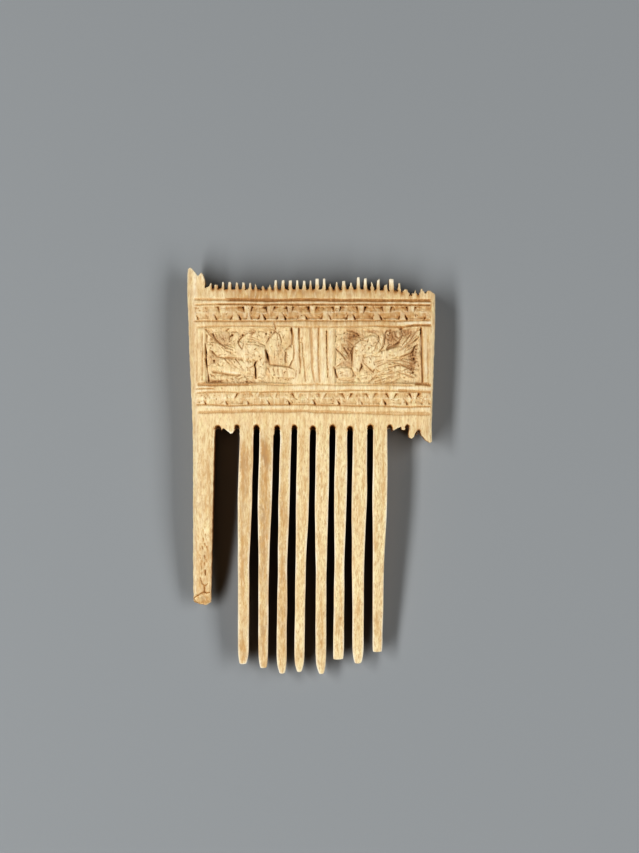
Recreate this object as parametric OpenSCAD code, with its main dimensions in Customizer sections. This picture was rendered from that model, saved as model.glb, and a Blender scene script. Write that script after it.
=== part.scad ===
// Double-sided wooden comb, carved from one flat piece of boxwood.
// It lies on its back: X runs across the comb, Y along it towards the fine teeth, Z is up, out of
// the carved front. The origin is under the middle of the comb, at the surface it lies on.
// In the tables below, x is measured from the middle of the body and y from the root line of the
// coarse teeth, all in millimetres.

/* [Body] */
// Width across the body, at its widest
body_w = 75.2; // [74.8:0.1:76]
// Height of the body, from the root line of the coarse teeth to that of the fine teeth
body_h = 40.4; // [40.2:0.1:40.8]
// Thickness at the middle of the carved panel
body_t = 9.9; // [9.4:0.1:10.6]
// Half the width that is flat across, before both faces fall away towards the long edges
flat_half_w = 16; // [10:1:20]
// Slope of both faces beyond that, towards the long edges
side_slope = 3.5; // [0.5:0.5:4]
// Distance from the middle at which the worn bevel along a long edge starts from the crown line
bevel_x = 34.9; // [34.4:0.1:35.3]
// Slope of that bevel
bevel_slope = 45; // [30:1:50]

/* [Coarse teeth] */
// Thickness of the coarse teeth near their tips
tip_t = 2.8; // [2.4:0.1:3.2]
// How far the coarse tips stand off the surface that the comb lies on
tip_lift = 2.3; // [1:0.1:3]
// How far the saw cuts between the coarse teeth slope in from each face
saw_slope = 20; // [14:1:26]
// Largest chamfer along the edges of a coarse tooth
tooth_chamfer = 0.8; // [0.4:0.1:0.9]

/* [Fine teeth] */
// How much wider each fine stub is at its root, on each side
stub_flare = 0.12; // [0:0.02:0.2]

/* [Carving] */
// Width and depth of the grooves that frame the borders
groove_w = 0.8; // [0.5:0.1:1]
groove_depth = 0.4; // [0.2:0.05:0.6]
// Depth of the zigzag borders
border_depth = 0.5; // [0.3:0.05:0.8]
// Depth of the ground around the birds
panel_depth = 0.9; // [0.5:0.1:1.2]
// Depth of the upright cuts that frame the panels and part the two birds
bar_depth = 0.5; // [0.3:0.05:0.8]

/* [Hidden] */
$fn = 32;
wood = [0.86, 0.71, 0.48];
half_w = body_w / 2;
// How far the long edges draw in from the fine end to the coarse end
edge_taper = 1.5;
// Lowest line of the body between the coarse teeth, and the ridge where two saw cuts meet
root_y = -1.9;
ridge_y = -1.5;
// Ends of the comb: the tip of the longest coarse tooth and the top of the broken corner
lowest_y = -75.9;
highest_y = 47.5;
centre_y = (lowest_y + highest_y) / 2;
// Length of a cutter that has to pass right across the comb, and of one that only passes through it
across = 120;
through = 16;

// Side view: y, height of the back and height of the front above the surface the comb lies on
side_view = [
    [lowest_y - 1, tip_lift, tip_lift + tip_t],
    [-66, tip_lift - 0.5, 5.6],
    [-59.5, tip_lift - 0.9, 6.3],
    [-47, 0.8, 7.7],
    [-35, 0.3, 8.7],
    [-23, 0, body_t - 0.7],
    [0, 0, body_t - 0.5],
    [12, 0, body_t - 0.1],
    [20.6, 0.1, body_t],
    [31.6, 0.5, body_t - 0.3],
    [37.1, 0.9, body_t - 0.7],
    [40.9, 1.3, body_t - 1.2],
    [highest_y + 1, 2, body_t - 2]
];

// Height of the back and of the front on the middle line, and how far a face falls away at any x
function back_z(y) = lookup(y, [for (r = side_view) [r[0], r[1]]]);
function front_z(y) = lookup(y, [for (r = side_view) [r[0], r[2]]]);
function fall(x) = max(0, abs(x) - flat_half_w) * tan(side_slope);

// Left edge and the broken corner above it, up to the first fine tooth: x, y
left_edge = [
    [-half_w + edge_taper, -0.5],
    [-half_w + 0.6, 20.6],
    [-half_w, body_h - 1],
    [-half_w, 45.3],
    [-37.2, 47],
    [-36.6, highest_y],
    [-35.6, 46.6],
    [-34.3, 45],
    [-33.4, 45.9],
    [-32.6, 45.2],
    [-32.1, 43.8],
    [-31.8, body_h]
];

// Broken fine teeth: x of the middle, width, y of the top left corner, y of the top right corner,
// and how far below body_h the saw cut to its right ends
fine_stubs = [
    [-30.6, 0.8, 42.4, 42.8, 0],
    [-28.8, 1.2, 42.2, 42.1, 0],
    [-26.6, 0.7, 43, 42.9, 0],
    [-24.6, 1, 43, 42.8, 0],
    [-22.5, 0.8, 42.8, 42.7, 0],
    [-20.4, 0.9, 42.7, 42.8, 0],
    [-18.4, 0.8, 42.5, 42.5, 0],
    [-16.7, 0.6, 42.2, 42, 0],
    [-14.5, 0.6, 41.7, 41.6, 0],
    [-12.6, 0.8, 41.2, 42.2, 0],
    [-10.7, 1, 43.5, 43.5, 0],
    [-8.5, 1, 43.5, 43.3, 0],
    [-6.4, 1.1, 43.3, 43.4, 0],
    [-4.2, 0.8, 43.5, 43.3, 0],
    [-2.1, 1.1, 43.5, 43.5, 0],
    [-0.3, 0.7, 43.4, 43.5, 0],
    [1.8, 1.2, 44, 43.9, 0],
    [3.9, 1, 44, 43.9, 0],
    [5.8, 0.7, 42.5, 41.8, 0],
    [7.6, 0.9, 43, 43.1, 0],
    [9.8, 1.2, 43.4, 43.3, 0],
    [12, 1.1, 42.9, 42.6, 0],
    [14.2, 1.1, 44.4, 44.3, 0],
    [16.3, 1, 44.1, 44, 0],
    [18.4, 1.2, 43.2, 42.3, 0],
    [20.2, 1.1, 43.9, 44, 0],
    [22.4, 1.1, 42, 42.4, 0],
    [24.3, 1.5, 44, 43.8, 0],
    [26.7, 1.1, 42.9, 42.8, 0],
    [28.8, 2, 40.8, 40.9, 1.5],
    [31.1, 1.5, 40.3, 40.7, 1.3],
    [33.3, 1.3, 41.1, 41, 0.2]
];

// Corner where the right guard tooth has broken away, and the right edge below it: x, y
right_edge = [
    [34.9, 40.2],
    [35.7, 40.4],
    [half_w, 39.3],
    [half_w, 28.4],
    [half_w - 0.5, 22.4]
];

// Broken roots along the lower edge, from the right edge to the left one: x, y
broken_right_roots = [
    [36.5, -4.7],
    [36.2, -5.8],
    [34.9, -5.2],
    [33, -2.9],
    [32.4, -2.2],
    [31.9, root_y],
    [30.9, -4.3],
    [30, -4.3],
    [29.1, -3.5],
    [29.1, root_y],
    [27.8, root_y],
    [27.1, -0.4],
    [25.1, root_y],
    [24.5, -1.4],
    [23.6, root_y]
];
broken_left_root = [
    [-22.6, root_y],
    [-23.1, -0.6],
    [-23.8, -2.7],
    [-24.4, -2.9],
    [-26.6, -1.2],
    [-27.2, root_y]
];

// Left guard tooth, down its right side and back up its left side: x, y
guard_tooth = [
    [-29.2, root_y],
    [-29.3, -6],
    [-30.1, -47],
    [-30.5, -53.9],
    [-31.6, -54.5],
    [-33, -54.6],
    [-34.6, -54],
    [-35.9, -52.8],
    [-36.1, -48]
];
// Slanted break that ends the guard tooth: y where it leaves the front, and its slope
guard_break_y = -50.9;
guard_break_slope = 51;

// Saw cuts between the coarse teeth: x of the left side, x of the right side, and how far each runs
// above ridge_y. Below its round end a cut is taken down by saw_cut_h
saw_cut_h = 6;
saw_cuts = [
    [-29.1, -27.1, 0],
    [-23.1, -21.6, 0.1],
    [-17.3, -15.6, 0],
    [-11.1, -9.4, -0.1],
    [-5.9, -4.2, 0],
    [-0.3, 1.4, -0.3],
    [5.6, 7.3, 0],
    [10.9, 12.6, -0.4],
    [16.9, 18.7, 0.1],
    [22.9, 24.5, 0.1],
    [28.4, 29.6, 0.3],
    [31.9, 33, -1.2]
];

// Coarse teeth: x and width at each of the four stations, then x, width and y of the tip
station_y = [-2, -23, -41.3, -65.8];
// Share of the largest chamfer at each station
station_chamfer = [0.3, 0.6, 1, 1];
coarse_teeth = [
    [-19.4, 4.1, -20, 4.3, -20.4, 3.6, -20.6, 3.2, -20.7, 2, -72.9],
    [-13.4, 4.2, -14, 4.2, -14.4, 3.4, -14.7, 3.1, -14.5, 2, -74.1],
    [-7.6, 3.3, -8.2, 3.5, -8.7, 2.9, -9, 3.2, -8.9, 1.9, -75.8],
    [-2.3, 3.8, -2.6, 4, -3.1, 3.3, -3.6, 3.3, -3.6, 1.4, -75.3],
    [3.5, 4.1, 3.2, 4.2, 3, 3.5, 2.8, 3.5, 3.1, 1.7, lowest_y],
    [9.1, 3.5, 8.8, 3.8, 8.5, 3, 8.2, 3.6, 8.2, 2.9, -71.5],
    [14.7, 4.2, 14.5, 4.6, 14.3, 3.8, 14.2, 3.8, 14.3, 2, -72.7],
    [20.8, 4.2, 20.7, 4.5, 20.3, 3.6, 20.1, 3.1, 20.1, 2.2, -69.2]
];
// Where a tooth is given a section of its own, down to the length that all teeth share
section_y = [-2, -12, -23, -35, -47, -59.5, -66];
// How far the root of a tooth runs into the body, how much smaller it is there, and its chamfer
root_length = 2;
root_inset = 0.3;
root_chamfer = 0.2;
// How far above its tip a tooth starts to round off, and the chamfer there
tip_round = 1.6;
near_chamfer = 0.6;
// Thickness and chamfer of the tip itself
tip_end_t = 1.8;
tip_chamfer = 0.4;

// Grooves across the front: y at the left end, y at the right end
grooves = [
    [37.4, 37.1],
    [35.8, 35.8],
    [30.9, 31.1],
    [29, 29.5],
    [12.4, 12],
    [9.4, 9.8],
    [5.7, 5.2],
    [3.6, 3]
];
groove_ends_x = [-35.2, 36];

// Zigzag borders: x of the posts that stand on the upper edge, then of those on the lower edge
upper_border_y = [31.4, 35.3];
upper_border_top = [-33.2, -26.8, -19.1, -12.3, -6.4, 0.4, 7.6, 15, 22.7, 30.2];
upper_border_low = [-35, -29.8, -22.9, -14.9, -9, -2.9, 4.3, 11.8, 19.8, 27.6, 35];
lower_border_y = [6.1, 9];
lower_border_top = [-30, -23.4, -16.6, -11.2, -4.3, 3.3, 10.8, 18, 24.1, 30.9];
lower_border_low = [-33.1, -26.2, -19.9, -13.8, -7.6, 0, 7.2, 14.3, 21.3, 27.9, 34.2];
border_ends_x = [-35.4, 36];
// Width of a post at its edge of the border and at its tip, and its share of the border's height
post_base = 2;
post_tip = 0.9;
post_reach = 0.6;

// Panel: x and y limits of the ground around each bird, and the upright cuts between them
panel_y = [12.9, 28.6];
left_panel_x = [-32, -6];
right_panel_x = [7.2, 33];
frame_cuts_x = [-34.3, -3.7, 0.4, 2.5, 4.8];
frame_cut_w = 0.5;

// Bird on the left: it faces the middle with its head bowed, x, y
left_wing = [
    [-31.6, 27], [-29.4, 27.4], [-27.3, 24.3], [-24.5, 22.6], [-20.4, 24], [-16.6, 23.8],
    [-14.8, 21.7], [-16.6, 19.4], [-21.5, 19.6], [-26.4, 20], [-29.8, 21.6], [-31.3, 23.4]
];
left_body = [
    [-29.4, 18], [-26.2, 19.3], [-21.4, 19], [-17, 18.8], [-16.8, 15.2], [-21.4, 14.3],
    [-25.3, 14.5], [-29.4, 15.5]
];
left_neck = [
    [-16.3, 19], [-14, 21.8], [-12.7, 18.2], [-9, 17.4], [-4.9, 16.2], [-4.5, 14.6],
    [-8.7, 13.8], [-12.7, 13.9], [-15, 13.1], [-16.4, 13.8]
];
left_leaf = [
    [-13, 24.8], [-12, 26.4], [-10.6, 27.8], [-9.2, 26.2], [-8.8, 22.4], [-11, 20.6]
];
// Bird on the right, facing the other way: x, y
right_wing = [
    [16.5, 20.3], [23, 22.3], [25.2, 23.2], [27, 25], [28, 26.6], [31.4, 27.8], [32.2, 24.2],
    [30.6, 21.8], [27, 20.3], [20.8, 20]
];
right_body = [
    [15.5, 19.5], [20.6, 19.4], [24.4, 19.2], [29.4, 19], [30.6, 17.8], [29.8, 16.6], [31.2, 14],
    [26.8, 14], [23, 13.1], [17.2, 13.2], [14.6, 13.6], [15.4, 15.6]
];
right_neck = [
    [12.5, 22.8], [14.4, 24.8], [16.4, 23.8], [16, 20.4], [14.9, 17.2], [13, 14.8], [10.8, 13.4],
    [8.4, 14], [7.8, 16], [9.2, 17.2], [12.3, 18.4]
];
right_leaf = [
    [9.6, 26.6], [12, 28], [14, 27.2], [13.2, 25], [10.8, 24.4]
];

// Value for a tooth at any y, from its values at the four stations
function at_station(y, values) = lookup(y, [for (i = [0:3]) [station_y[i], values[i]]]);

// Octagon across a tooth: x of its middle, width, y, lowest z, highest z, chamfer
function octagon(x, w, y, z0, z1, c) = [
    [x - w / 2 + c, y, z1], [x + w / 2 - c, y, z1],
    [x + w / 2, y, z1 - c], [x + w / 2, y, z0 + c],
    [x + w / 2 - c, y, z0], [x - w / 2 + c, y, z0],
    [x - w / 2, y, z0 + c], [x - w / 2, y, z1 - c]
];

// Octagon that keeps inset inside the faces of the comb
function tooth_section(x, w, y, inset, c) =
    octagon(x, w - 2 * inset, y, back_z(y) + fall(x) + inset, front_z(y) - fall(x) - inset, c);

// Solid through a list of octagons that follow each other along -Y
module loft(sections) {
    last = len(sections) - 1;
    polyhedron(
        points = [for (s = sections) each s],
        faces = concat(
            [[for (k = [7:-1:0]) k]],
            [[for (k = [0:7]) last * 8 + k]],
            [for (i = [0:last - 1]) for (k = [0:7])
                [i * 8 + k, i * 8 + (k + 1) % 8, (i + 1) * 8 + k]],
            [for (i = [0:last - 1]) for (k = [0:7])
                [(i + 1) * 8 + k, i * 8 + (k + 1) % 8, (i + 1) * 8 + (k + 1) % 8]]
        )
    );
}

// Everything below the front (face 1) or above the back (face -1), where the comb is tipped about a
// line at x so that the face falls away on that side
module tipped_face(face, x, slope) {
    far = -face * across;
    profile = [for (r = side_view) [r[0], (face > 0 ? r[2] : r[1]) * cos(slope)]];
    translate([x, 0, 0]) rotate([0, face * sign(x) * slope, 0])
        translate([-across, 0, 0]) rotate([90, 0, 90]) linear_extrude(2 * across)
            polygon(concat([[lowest_y - 1, far]], profile, [[highest_y + 1, far]]));
}

// One face of the whole comb: flat across the middle, sloping beyond it, bevelled along both edges
module face_solid(face) {
    intersection() {
        tipped_face(face, 0, 0);
        tipped_face(face, -flat_half_w, side_slope);
        tipped_face(face, flat_half_w, side_slope);
        tipped_face(face, -bevel_x, bevel_slope);
        tipped_face(face, bevel_x, bevel_slope);
    }
}

// What a flat shape cuts out when it is sunk into the front by depth
module sunk(depth) {
    difference() {
        linear_extrude(through) children();
        translate([0, 0, -depth]) face_solid(1);
    }
}

// Front view of the row of broken fine teeth, from left to right
function fine_row() = [
    for (i = [0:len(fine_stubs) - 1])
        let (s = fine_stubs[i], side = s[1] / 2)
        each [
            [s[0] - side - stub_flare, body_h - (i == 0 ? 0 : fine_stubs[i - 1][4])],
            [s[0] - side, s[2]],
            [s[0] + side, s[3]],
            [s[0] + side + stub_flare, body_h - s[4]]
        ]
];

// The plain slab: front view and both faces together
module slab() {
    color(wood) intersection() {
        linear_extrude(through) polygon(concat(
            guard_tooth, left_edge, fine_row(), right_edge, broken_right_roots, broken_left_root
        ));
        face_solid(1);
        face_solid(-1);
    }
}

// Slanted break at the end of the guard tooth
module guard_break() {
    x = guard_tooth[2][0];
    translate([x - through, guard_break_y, front_z(guard_break_y) - fall(x)])
        rotate([guard_break_slope, 0, 0])
            translate([0, -through, 0]) cube([through + 1, 1.3 * through, through]);
}

// One coarse tooth, from inside the body to its tip
module coarse_tooth(t) {
    x_row = [t[0], t[2], t[4], t[6]];
    w_row = [t[1], t[3], t[5], t[7]];
    tip_y = t[10];
    tip_z = back_z(tip_y) + tip_chamfer;
    near_y = tip_y + tip_round;
    color(wood) loft(concat(
        [tooth_section(t[0], t[1], station_y[0] + root_length, root_inset,
            root_chamfer)],
        [for (y = section_y)
            tooth_section(at_station(y, x_row), at_station(y, w_row), y, 0,
                tooth_chamfer * at_station(y, station_chamfer))],
        [tooth_section(t[8], (t[7] + t[9]) / 2, near_y, 0, near_chamfer)],
        [octagon(t[8], t[9], tip_y, tip_z, tip_z + tip_end_t, tip_chamfer)]
    ));
}

// One saw cut, sloping in from the front and from the back to a ridge between them
module saw_cut(c) {
    w = c[1] - c[0];
    for (face = [-1, 1])
        translate([(c[0] + c[1]) / 2, ridge_y + c[2], front_z(0) / 2])
            rotate([-face * saw_slope, 0, 0])
                translate([0, 0, face < 0 ? -through : 0]) linear_extrude(through) {
                    translate([0, -w / 2]) circle(d = w);
                    translate([-w / 2, -w / 2 - saw_cut_h]) square([w, saw_cut_h]);
                }
}

// Front view of a groove, from y at the left to y at the right
module groove(g) {
    polygon([
        [groove_ends_x[0], g[0] - groove_w / 2],
        [groove_ends_x[1], g[1] - groove_w / 2],
        [groove_ends_x[1], g[1] + groove_w / 2],
        [groove_ends_x[0], g[0] + groove_w / 2]
    ]);
}

// Front view of a post of a zigzag border, standing on y and reaching towards its middle
module post(x, y, height) {
    polygon([
        [x - post_base / 2, y],
        [x + post_base / 2, y],
        [x + post_tip / 2, y + height],
        [x - post_tip / 2, y + height]
    ]);
}

// Front view of the ground of a zigzag border, around its two rows of posts
module border(y_range, top_posts, low_posts) {
    height = y_range[1] - y_range[0];
    difference() {
        translate([border_ends_x[0], y_range[0]])
            square([border_ends_x[1] - border_ends_x[0], height]);
        for (x = top_posts) post(x, y_range[1], -post_reach * height);
        for (x = low_posts) post(x, y_range[0], post_reach * height);
    }
}

// Front view of the ground of one panel, with its bird left standing
module panel_ground(x_range, shapes) {
    difference() {
        translate([x_range[0], panel_y[0]])
            square([x_range[1] - x_range[0], panel_y[1] - panel_y[0]]);
        for (s = shapes) polygon(s);
    }
}

// Front view of the upright cuts that frame the panels and part the two birds
module frame_cuts() {
    for (x = frame_cuts_x)
        translate([x, panel_y[0]]) square([frame_cut_w, panel_y[1] - panel_y[0]]);
}

// All that is cut into the front
module carving() {
    sunk(groove_depth) for (g = grooves) groove(g);
    sunk(border_depth) {
        border(upper_border_y, upper_border_top, upper_border_low);
        border(lower_border_y, lower_border_top, lower_border_low);
    }
    sunk(panel_depth) {
        panel_ground(left_panel_x, [left_wing, left_body, left_neck, left_leaf]);
        panel_ground(right_panel_x, [right_wing, right_body, right_neck, right_leaf]);
    }
    sunk(bar_depth) frame_cuts();
}

module comb() {
    translate([0, -centre_y, 0]) difference() {
        union() {
            slab();
            for (t = coarse_teeth) coarse_tooth(t);
        }
        guard_break();
        for (c = saw_cuts) saw_cut(c);
        carving();
    }
}

comb();
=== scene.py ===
"""Looks of the double-sided wooden comb: one carved mesh that stands for the CAD solid, its
boxwood, the floor, the lights and the camera.

Lengths are in millimetres, as in the part's source: x from the middle of the body, y from the root
line of the coarse teeth. The mesh is moved up by SHIFT_Y and turned into metres at the end."""

from math import atan2, cos, pi, radians, sin, tan

import bpy
import numpy as np
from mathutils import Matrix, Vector, geometry, kdtree


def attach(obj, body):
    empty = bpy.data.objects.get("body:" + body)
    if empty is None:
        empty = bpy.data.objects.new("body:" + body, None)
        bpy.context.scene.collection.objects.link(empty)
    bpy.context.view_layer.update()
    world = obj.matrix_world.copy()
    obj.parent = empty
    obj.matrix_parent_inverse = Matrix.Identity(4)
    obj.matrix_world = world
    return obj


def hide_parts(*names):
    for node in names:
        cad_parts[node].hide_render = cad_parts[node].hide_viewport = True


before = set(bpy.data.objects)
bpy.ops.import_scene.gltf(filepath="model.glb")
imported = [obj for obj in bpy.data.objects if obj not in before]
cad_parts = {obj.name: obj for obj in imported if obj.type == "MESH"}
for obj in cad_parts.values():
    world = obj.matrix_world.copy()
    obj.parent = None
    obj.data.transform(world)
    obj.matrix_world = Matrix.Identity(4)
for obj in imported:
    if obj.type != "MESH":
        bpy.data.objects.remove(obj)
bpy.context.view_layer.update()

MM = 0.001
HALF_W = 37.6
BODY_T = 9.9
LOWEST_Y = -75.9
HIGHEST_Y = 47.5
SHIFT_Y = -(LOWEST_Y + HIGHEST_Y) / 2
# How far the mesh keeps within the box of the CAD solid, across and in height
WITHIN = 0.02
WITHIN_Z = 0.005
# Half width of the level middle of both faces, and their slope beyond it
FLAT_HALF_W = 16
SIDE_SLOPE = radians(3.5)
# Right side of the guard tooth, of the coarse row and of the broken corner at the top left
GUARD_X = -28
COARSE_X = 24
HORN_X = -31.5
# How much thinner the guard tooth is at its broken end, in front and at the back
GUARD_DROP = 1.3
GUARD_LIFT = 0.3
# The ends of the saw cuts slope from both faces to a ridge at MIDDLE_Z: y of the ridge in the coarse
# row, how far the ends in the fine row stand above those of the solid, and slopes from the upright
MIDDLE_Z = 4.7
RIDGE_Y = -1.5
FINE_CUT_LIFT = 0.35
COARSE_CUT_SLOPE = radians(19)
FINE_CUT_SLOPE = radians(6)
# Least height of the side walls, and the angle from which an edge is drawn sharp
LEAST_WALL = 0.12
SHARP_ANGLE = radians(50)

# Side view: y, height of the back, height of the front
SIDE_VIEW = [
    (-76.9, 2.3, 5.1), (-66, 1.8, 5.6), (-59.5, 1.4, 6.3), (-47, 0.8, 7.7), (-35, 0.3, 8.7),
    (-23, 0, 9.2), (0, 0, 9.4), (12, 0, 9.8), (20.6, 0.1, 9.9), (31.6, 0.5, 9.6),
    (37.1, 0.9, 9.2), (40.9, 1.3, 8.7), (48.5, 2, 7.9),
]

# Outline tables

# Coarse teeth, left to right: x and width at the four stations, then x, width and y of the tip,
# and how far its corners are rounded
STATION_Y = (-2, -23, -41.3, -65.8)
COARSE_TEETH = [
    (-19.4, 4.1, -20, 4.3, -20.4, 3.4, -20.6, 3.3, -20.7, 2.1, -72.9, 0.3),
    (-13.4, 4.2, -14, 4.2, -14.3, 3.2, -14.6, 2.9, -14.5, 1.9, -74.1, 0.3),
    (-7.6, 3.3, -8.2, 3.4, -8.6, 2.8, -9, 3.1, -8.8, 1.6, -75.8, 0.3),
    (-2.3, 3.8, -2.6, 4, -3.1, 3.1, -3.6, 3.1, -3.6, 1.5, -75.3, 0.4),
    (3.5, 4.1, 3.2, 4.2, 3, 3.3, 2.9, 3.2, 3.1, 1.5, -75.9, 0.3),
    (9.1, 3.5, 8.8, 3.8, 8.5, 2.9, 8.3, 3.3, 8.2, 2.9, -71.5, 0.3),
    (14.7, 4.2, 14.5, 4.6, 14.1, 3.6, 14.2, 3.4, 14.2, 2.2, -72.7, 0.5),
    (20.8, 4.2, 20.7, 4.5, 20.3, 3.4, 20.1, 3, 20.1, 2.6, -69.2, 0.2),
]

# Saw cuts between the coarse teeth: left x, right x, and how far each runs above RIDGE_Y
SAW_CUTS = [
    (-29.1, -27.1, 0), (-23.1, -21.6, 0.1), (-17.3, -15.6, 0), (-11.1, -9.4, -0.1),
    (-5.9, -4.2, 0), (-0.3, 1.4, -0.3), (5.6, 7.3, 0), (10.9, 12.6, -0.4),
    (16.9, 18.7, 0.1), (22.9, 24.5, 0.1), (28.4, 29.6, 0.3), (31.9, 33, -1.2),
]

# Broken roots below the body: the lost tooth on the left, then the corner on the right
LEFT_ROOT = [(-27.1, -1.8), (-26.5, -1.2), (-25.4, -1.9), (-24.3, -2.9), (-23.7, -2.7), (-23.3, -1.7)]
RIGHT_ROOTS = [
    (24.5, -1.7), (24.9, -1.9), (25.6, -1.5), (26.5, -1.1), (27.1, -0.7), (27.5, -1.8), (28, -1.9),
    (28.3, -1.6),
]
RIGHT_STUB = [(29.4, -3.2), (29.7, -4), (30.3, -4.3), (30.9, -3.8), (31.5, -2.6), (31.9, -1.9)]
RIGHT_SPUR = [(33.1, -2.4), (33.4, -3.4), (34.4, -4.6), (35.9, -5.7), (36.4, -5.4)]

# Left guard tooth: up its right side from the broken end
GUARD_RIGHT = [(-30.35, -50.4), (-30.05, -40), (-29.65, -22), (-29.3, -8), (-29.1, -2.6)]
# The broken end, from the left side to the right side
GUARD_END = [
    (-35.9, -53), (-35.75, -53.7), (-35.3, -54.2), (-34.2, -54.75), (-32.6, -55.05), (-31.3, -54.8),
    (-30.5, -54.3), (-30.35, -53.2),
]
# The long edges: y, x
LEFT_EDGE = [(-52, -35.9), (-30, -35.8), (-10, -35.8), (0, -35.9), (10, -36.3), (20, -36.8),
             (30, -37.1), (39, -37.55), (44.8, -37.6), (47, -37.45)]
RIGHT_EDGE = [(-5.2, 36.5), (0, 36.4), (3, 36.5), (12, 36.8), (22, 37.1), (28.5, 37.4), (39, 37.5)]
# Broken corner at the top left, from right to left
HORN = [
    (-32.2, 41), (-32.1, 42.6), (-32.25, 43.9), (-32.7, 45.2), (-33.1, 45.75), (-33.5, 45.6),
    (-34.1, 44.95), (-34.35, 44.85), (-35.2, 46.1), (-36.3, 47.35), (-36.8, 47.5), (-37.4, 47.1),
]
# Corner where the right guard tooth has broken away, from right to left
RIGHT_CORNER = [(37.45, 39.2), (36.7, 39.8), (35.6, 40.45), (34.8, 40.1)]

# Broken fine teeth, left to right: x, width at the root, width near the top, y of the top left
# corner, y of the top right corner, y of the saw cut's end to its right
FINE_TEETH = [
    (-30.5, 1.2, 0.6, 42.1, 42.7, 40.9), (-28.7, 1.3, 1, 42.1, 42.1, 40.9),
    (-26.6, 1, 0.5, 43, 42.9, 40.7), (-24.6, 1.2, 0.8, 42.9, 42.9, 40.7),
    (-22.4, 1.1, 0.6, 42.8, 42.7, 40.7), (-20.4, 1.1, 0.7, 42.8, 42.7, 40.7),
    (-18.4, 1, 0.5, 42.6, 42.6, 40.7), (-16.7, 0.9, 0.4, 42.3, 42, 40.7),
    (-14.5, 1.1, 0.5, 41.7, 41.6, 40.6), (-12.5, 1.3, 0.3, 41.9, 42.1, 40.6),
    (-10.7, 1.3, 0.7, 43.4, 43.5, 40.7), (-8.5, 1.3, 0.8, 43.3, 43.5, 40.7),
    (-6.3, 1.3, 0.9, 43.3, 43.4, 40.7), (-4.2, 1.1, 0.6, 43.4, 43.4, 40.7),
    (-2.1, 1.3, 0.7, 43.3, 43.2, 40.7), (-0.2, 1, 0.5, 43.3, 43.3, 40.7),
    (1.8, 1.3, 1, 43.9, 43.9, 40.7), (3.9, 1.2, 0.7, 43.9, 43.9, 40.7),
    (5.8, 1.3, 0.3, 42.5, 42.2, 40.6), (7.7, 1.3, 0.5, 42.9, 42.8, 40.7),
    (9.8, 1.5, 0.9, 43.2, 43.2, 40.7), (12, 1.4, 0.5, 42.7, 42.6, 40.7),
    (14.2, 1.2, 0.8, 44.3, 44.3, 40.7), (16.3, 1.3, 0.8, 43.9, 44, 40.6),
    (18.4, 1.4, 0.5, 43, 42.4, 40.5), (20.2, 1.2, 0.8, 43.4, 43.9, 40.5),
    (22.4, 1.3, 0.9, 41.9, 42.2, 40.4), (24.2, 1.6, 1.3, 43.9, 43.8, 40.3),
    (26.6, 1.3, 0.5, 42.6, 42.5, 39.7), (28.6, 2.3, 1, 40.8, 40.6, 39),
    (31.15, 1.7, 0.5, 39.7, 40.5, 38.9), (33.3, 1.8, 0.5, 40.8, 40.9, 39.5),
]

# Carving tables

CARVED_X = (-35.4, 36.2)
# Grooves across the front: width, depth, brown stain, and points from left to right
GROOVES = [
    (1, 0.5, 1, [(-25, 37.4), (-14, 37.25), (0, 37.35), (36.2, 37.2)]),
    (0.35, 0.3, 1, [(-26, 37.75), (-20, 37.7), (-12, 37.65)]),
    (0.65, 0.4, 1, [(-28.5, 36.1), (-24, 36.1), (-14, 35.9), (20, 36), (36.2, 35.9)]),
    (0.55, 0.35, 0.7, [(-35.4, 31), (-14, 31), (8, 31.1), (26, 31.1), (36, 31.4)]),
    (0.6, 0.3, 0.55, [(-34.6, 29.2), (-24, 29.55), (-10, 29.4), (6, 29.2), (20, 29.5), (28, 29.2)]),
    (0.8, 0.35, 1, [(28, 29.3), (31, 29.8), (36.2, 29.7)]),
    (0.75, 0.35, 0.85, [(-34.4, 12), (-29, 11.8), (-18.4, 11.9)]),
    (0.6, 0.3, 0.5, [(-18.8, 11.9), (-8, 11.8), (2, 12), (12, 11.8), (22, 11.9), (31, 11.6)]),
    (0.5, 0.3, 0.7, [(-34, 12.3), (-31, 12.5), (-27, 12.5)]),
    (0.95, 0.4, 1, [(31, 12.1), (33, 12.1), (36.2, 11.7)]),
    (0.45, 0.3, 0.75, [(-35, 10.6), (-32, 10.75), (-29, 10.8)]),
    (0.5, 0.3, 0.65, [(-34.6, 9.4), (-31, 9.7), (-6, 9.7), (3, 10), (12, 10.1), (28, 10)]),
    (0.85, 0.3, 0.8, [(26, 10.1), (31, 9.8), (36.2, 9.6)]),
    (0.55, 0.35, 0.75, [(-34.8, 5.8), (-32, 5.9), (-26, 5.6), (-14, 5.8), (3, 5.8), (14, 5.6), (24, 5.3),
                        (36.2, 5.2)]),
    (1, 0.35, 0.62, [(-34.2, 3.5), (-28, 3.7), (-12, 4), (-4, 4), (3, 3.7), (12, 3.6)]),
    (0.7, 0.3, 0.55, [(11, 3.6), (18, 3.3), (26, 2.95), (36, 2.95)]),
    (0.4, 0.2, 0.6, [(16, 3.7), (26, 3.6), (35.8, 3.6)]),
    (0.8, 0.4, 0.65, [(-35.4, 37.6), (-24.4, 37.4)]),
    (0.5, 0.32, 0.6, [(-35.2, 36), (-27.8, 36.1)]),
]
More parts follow.
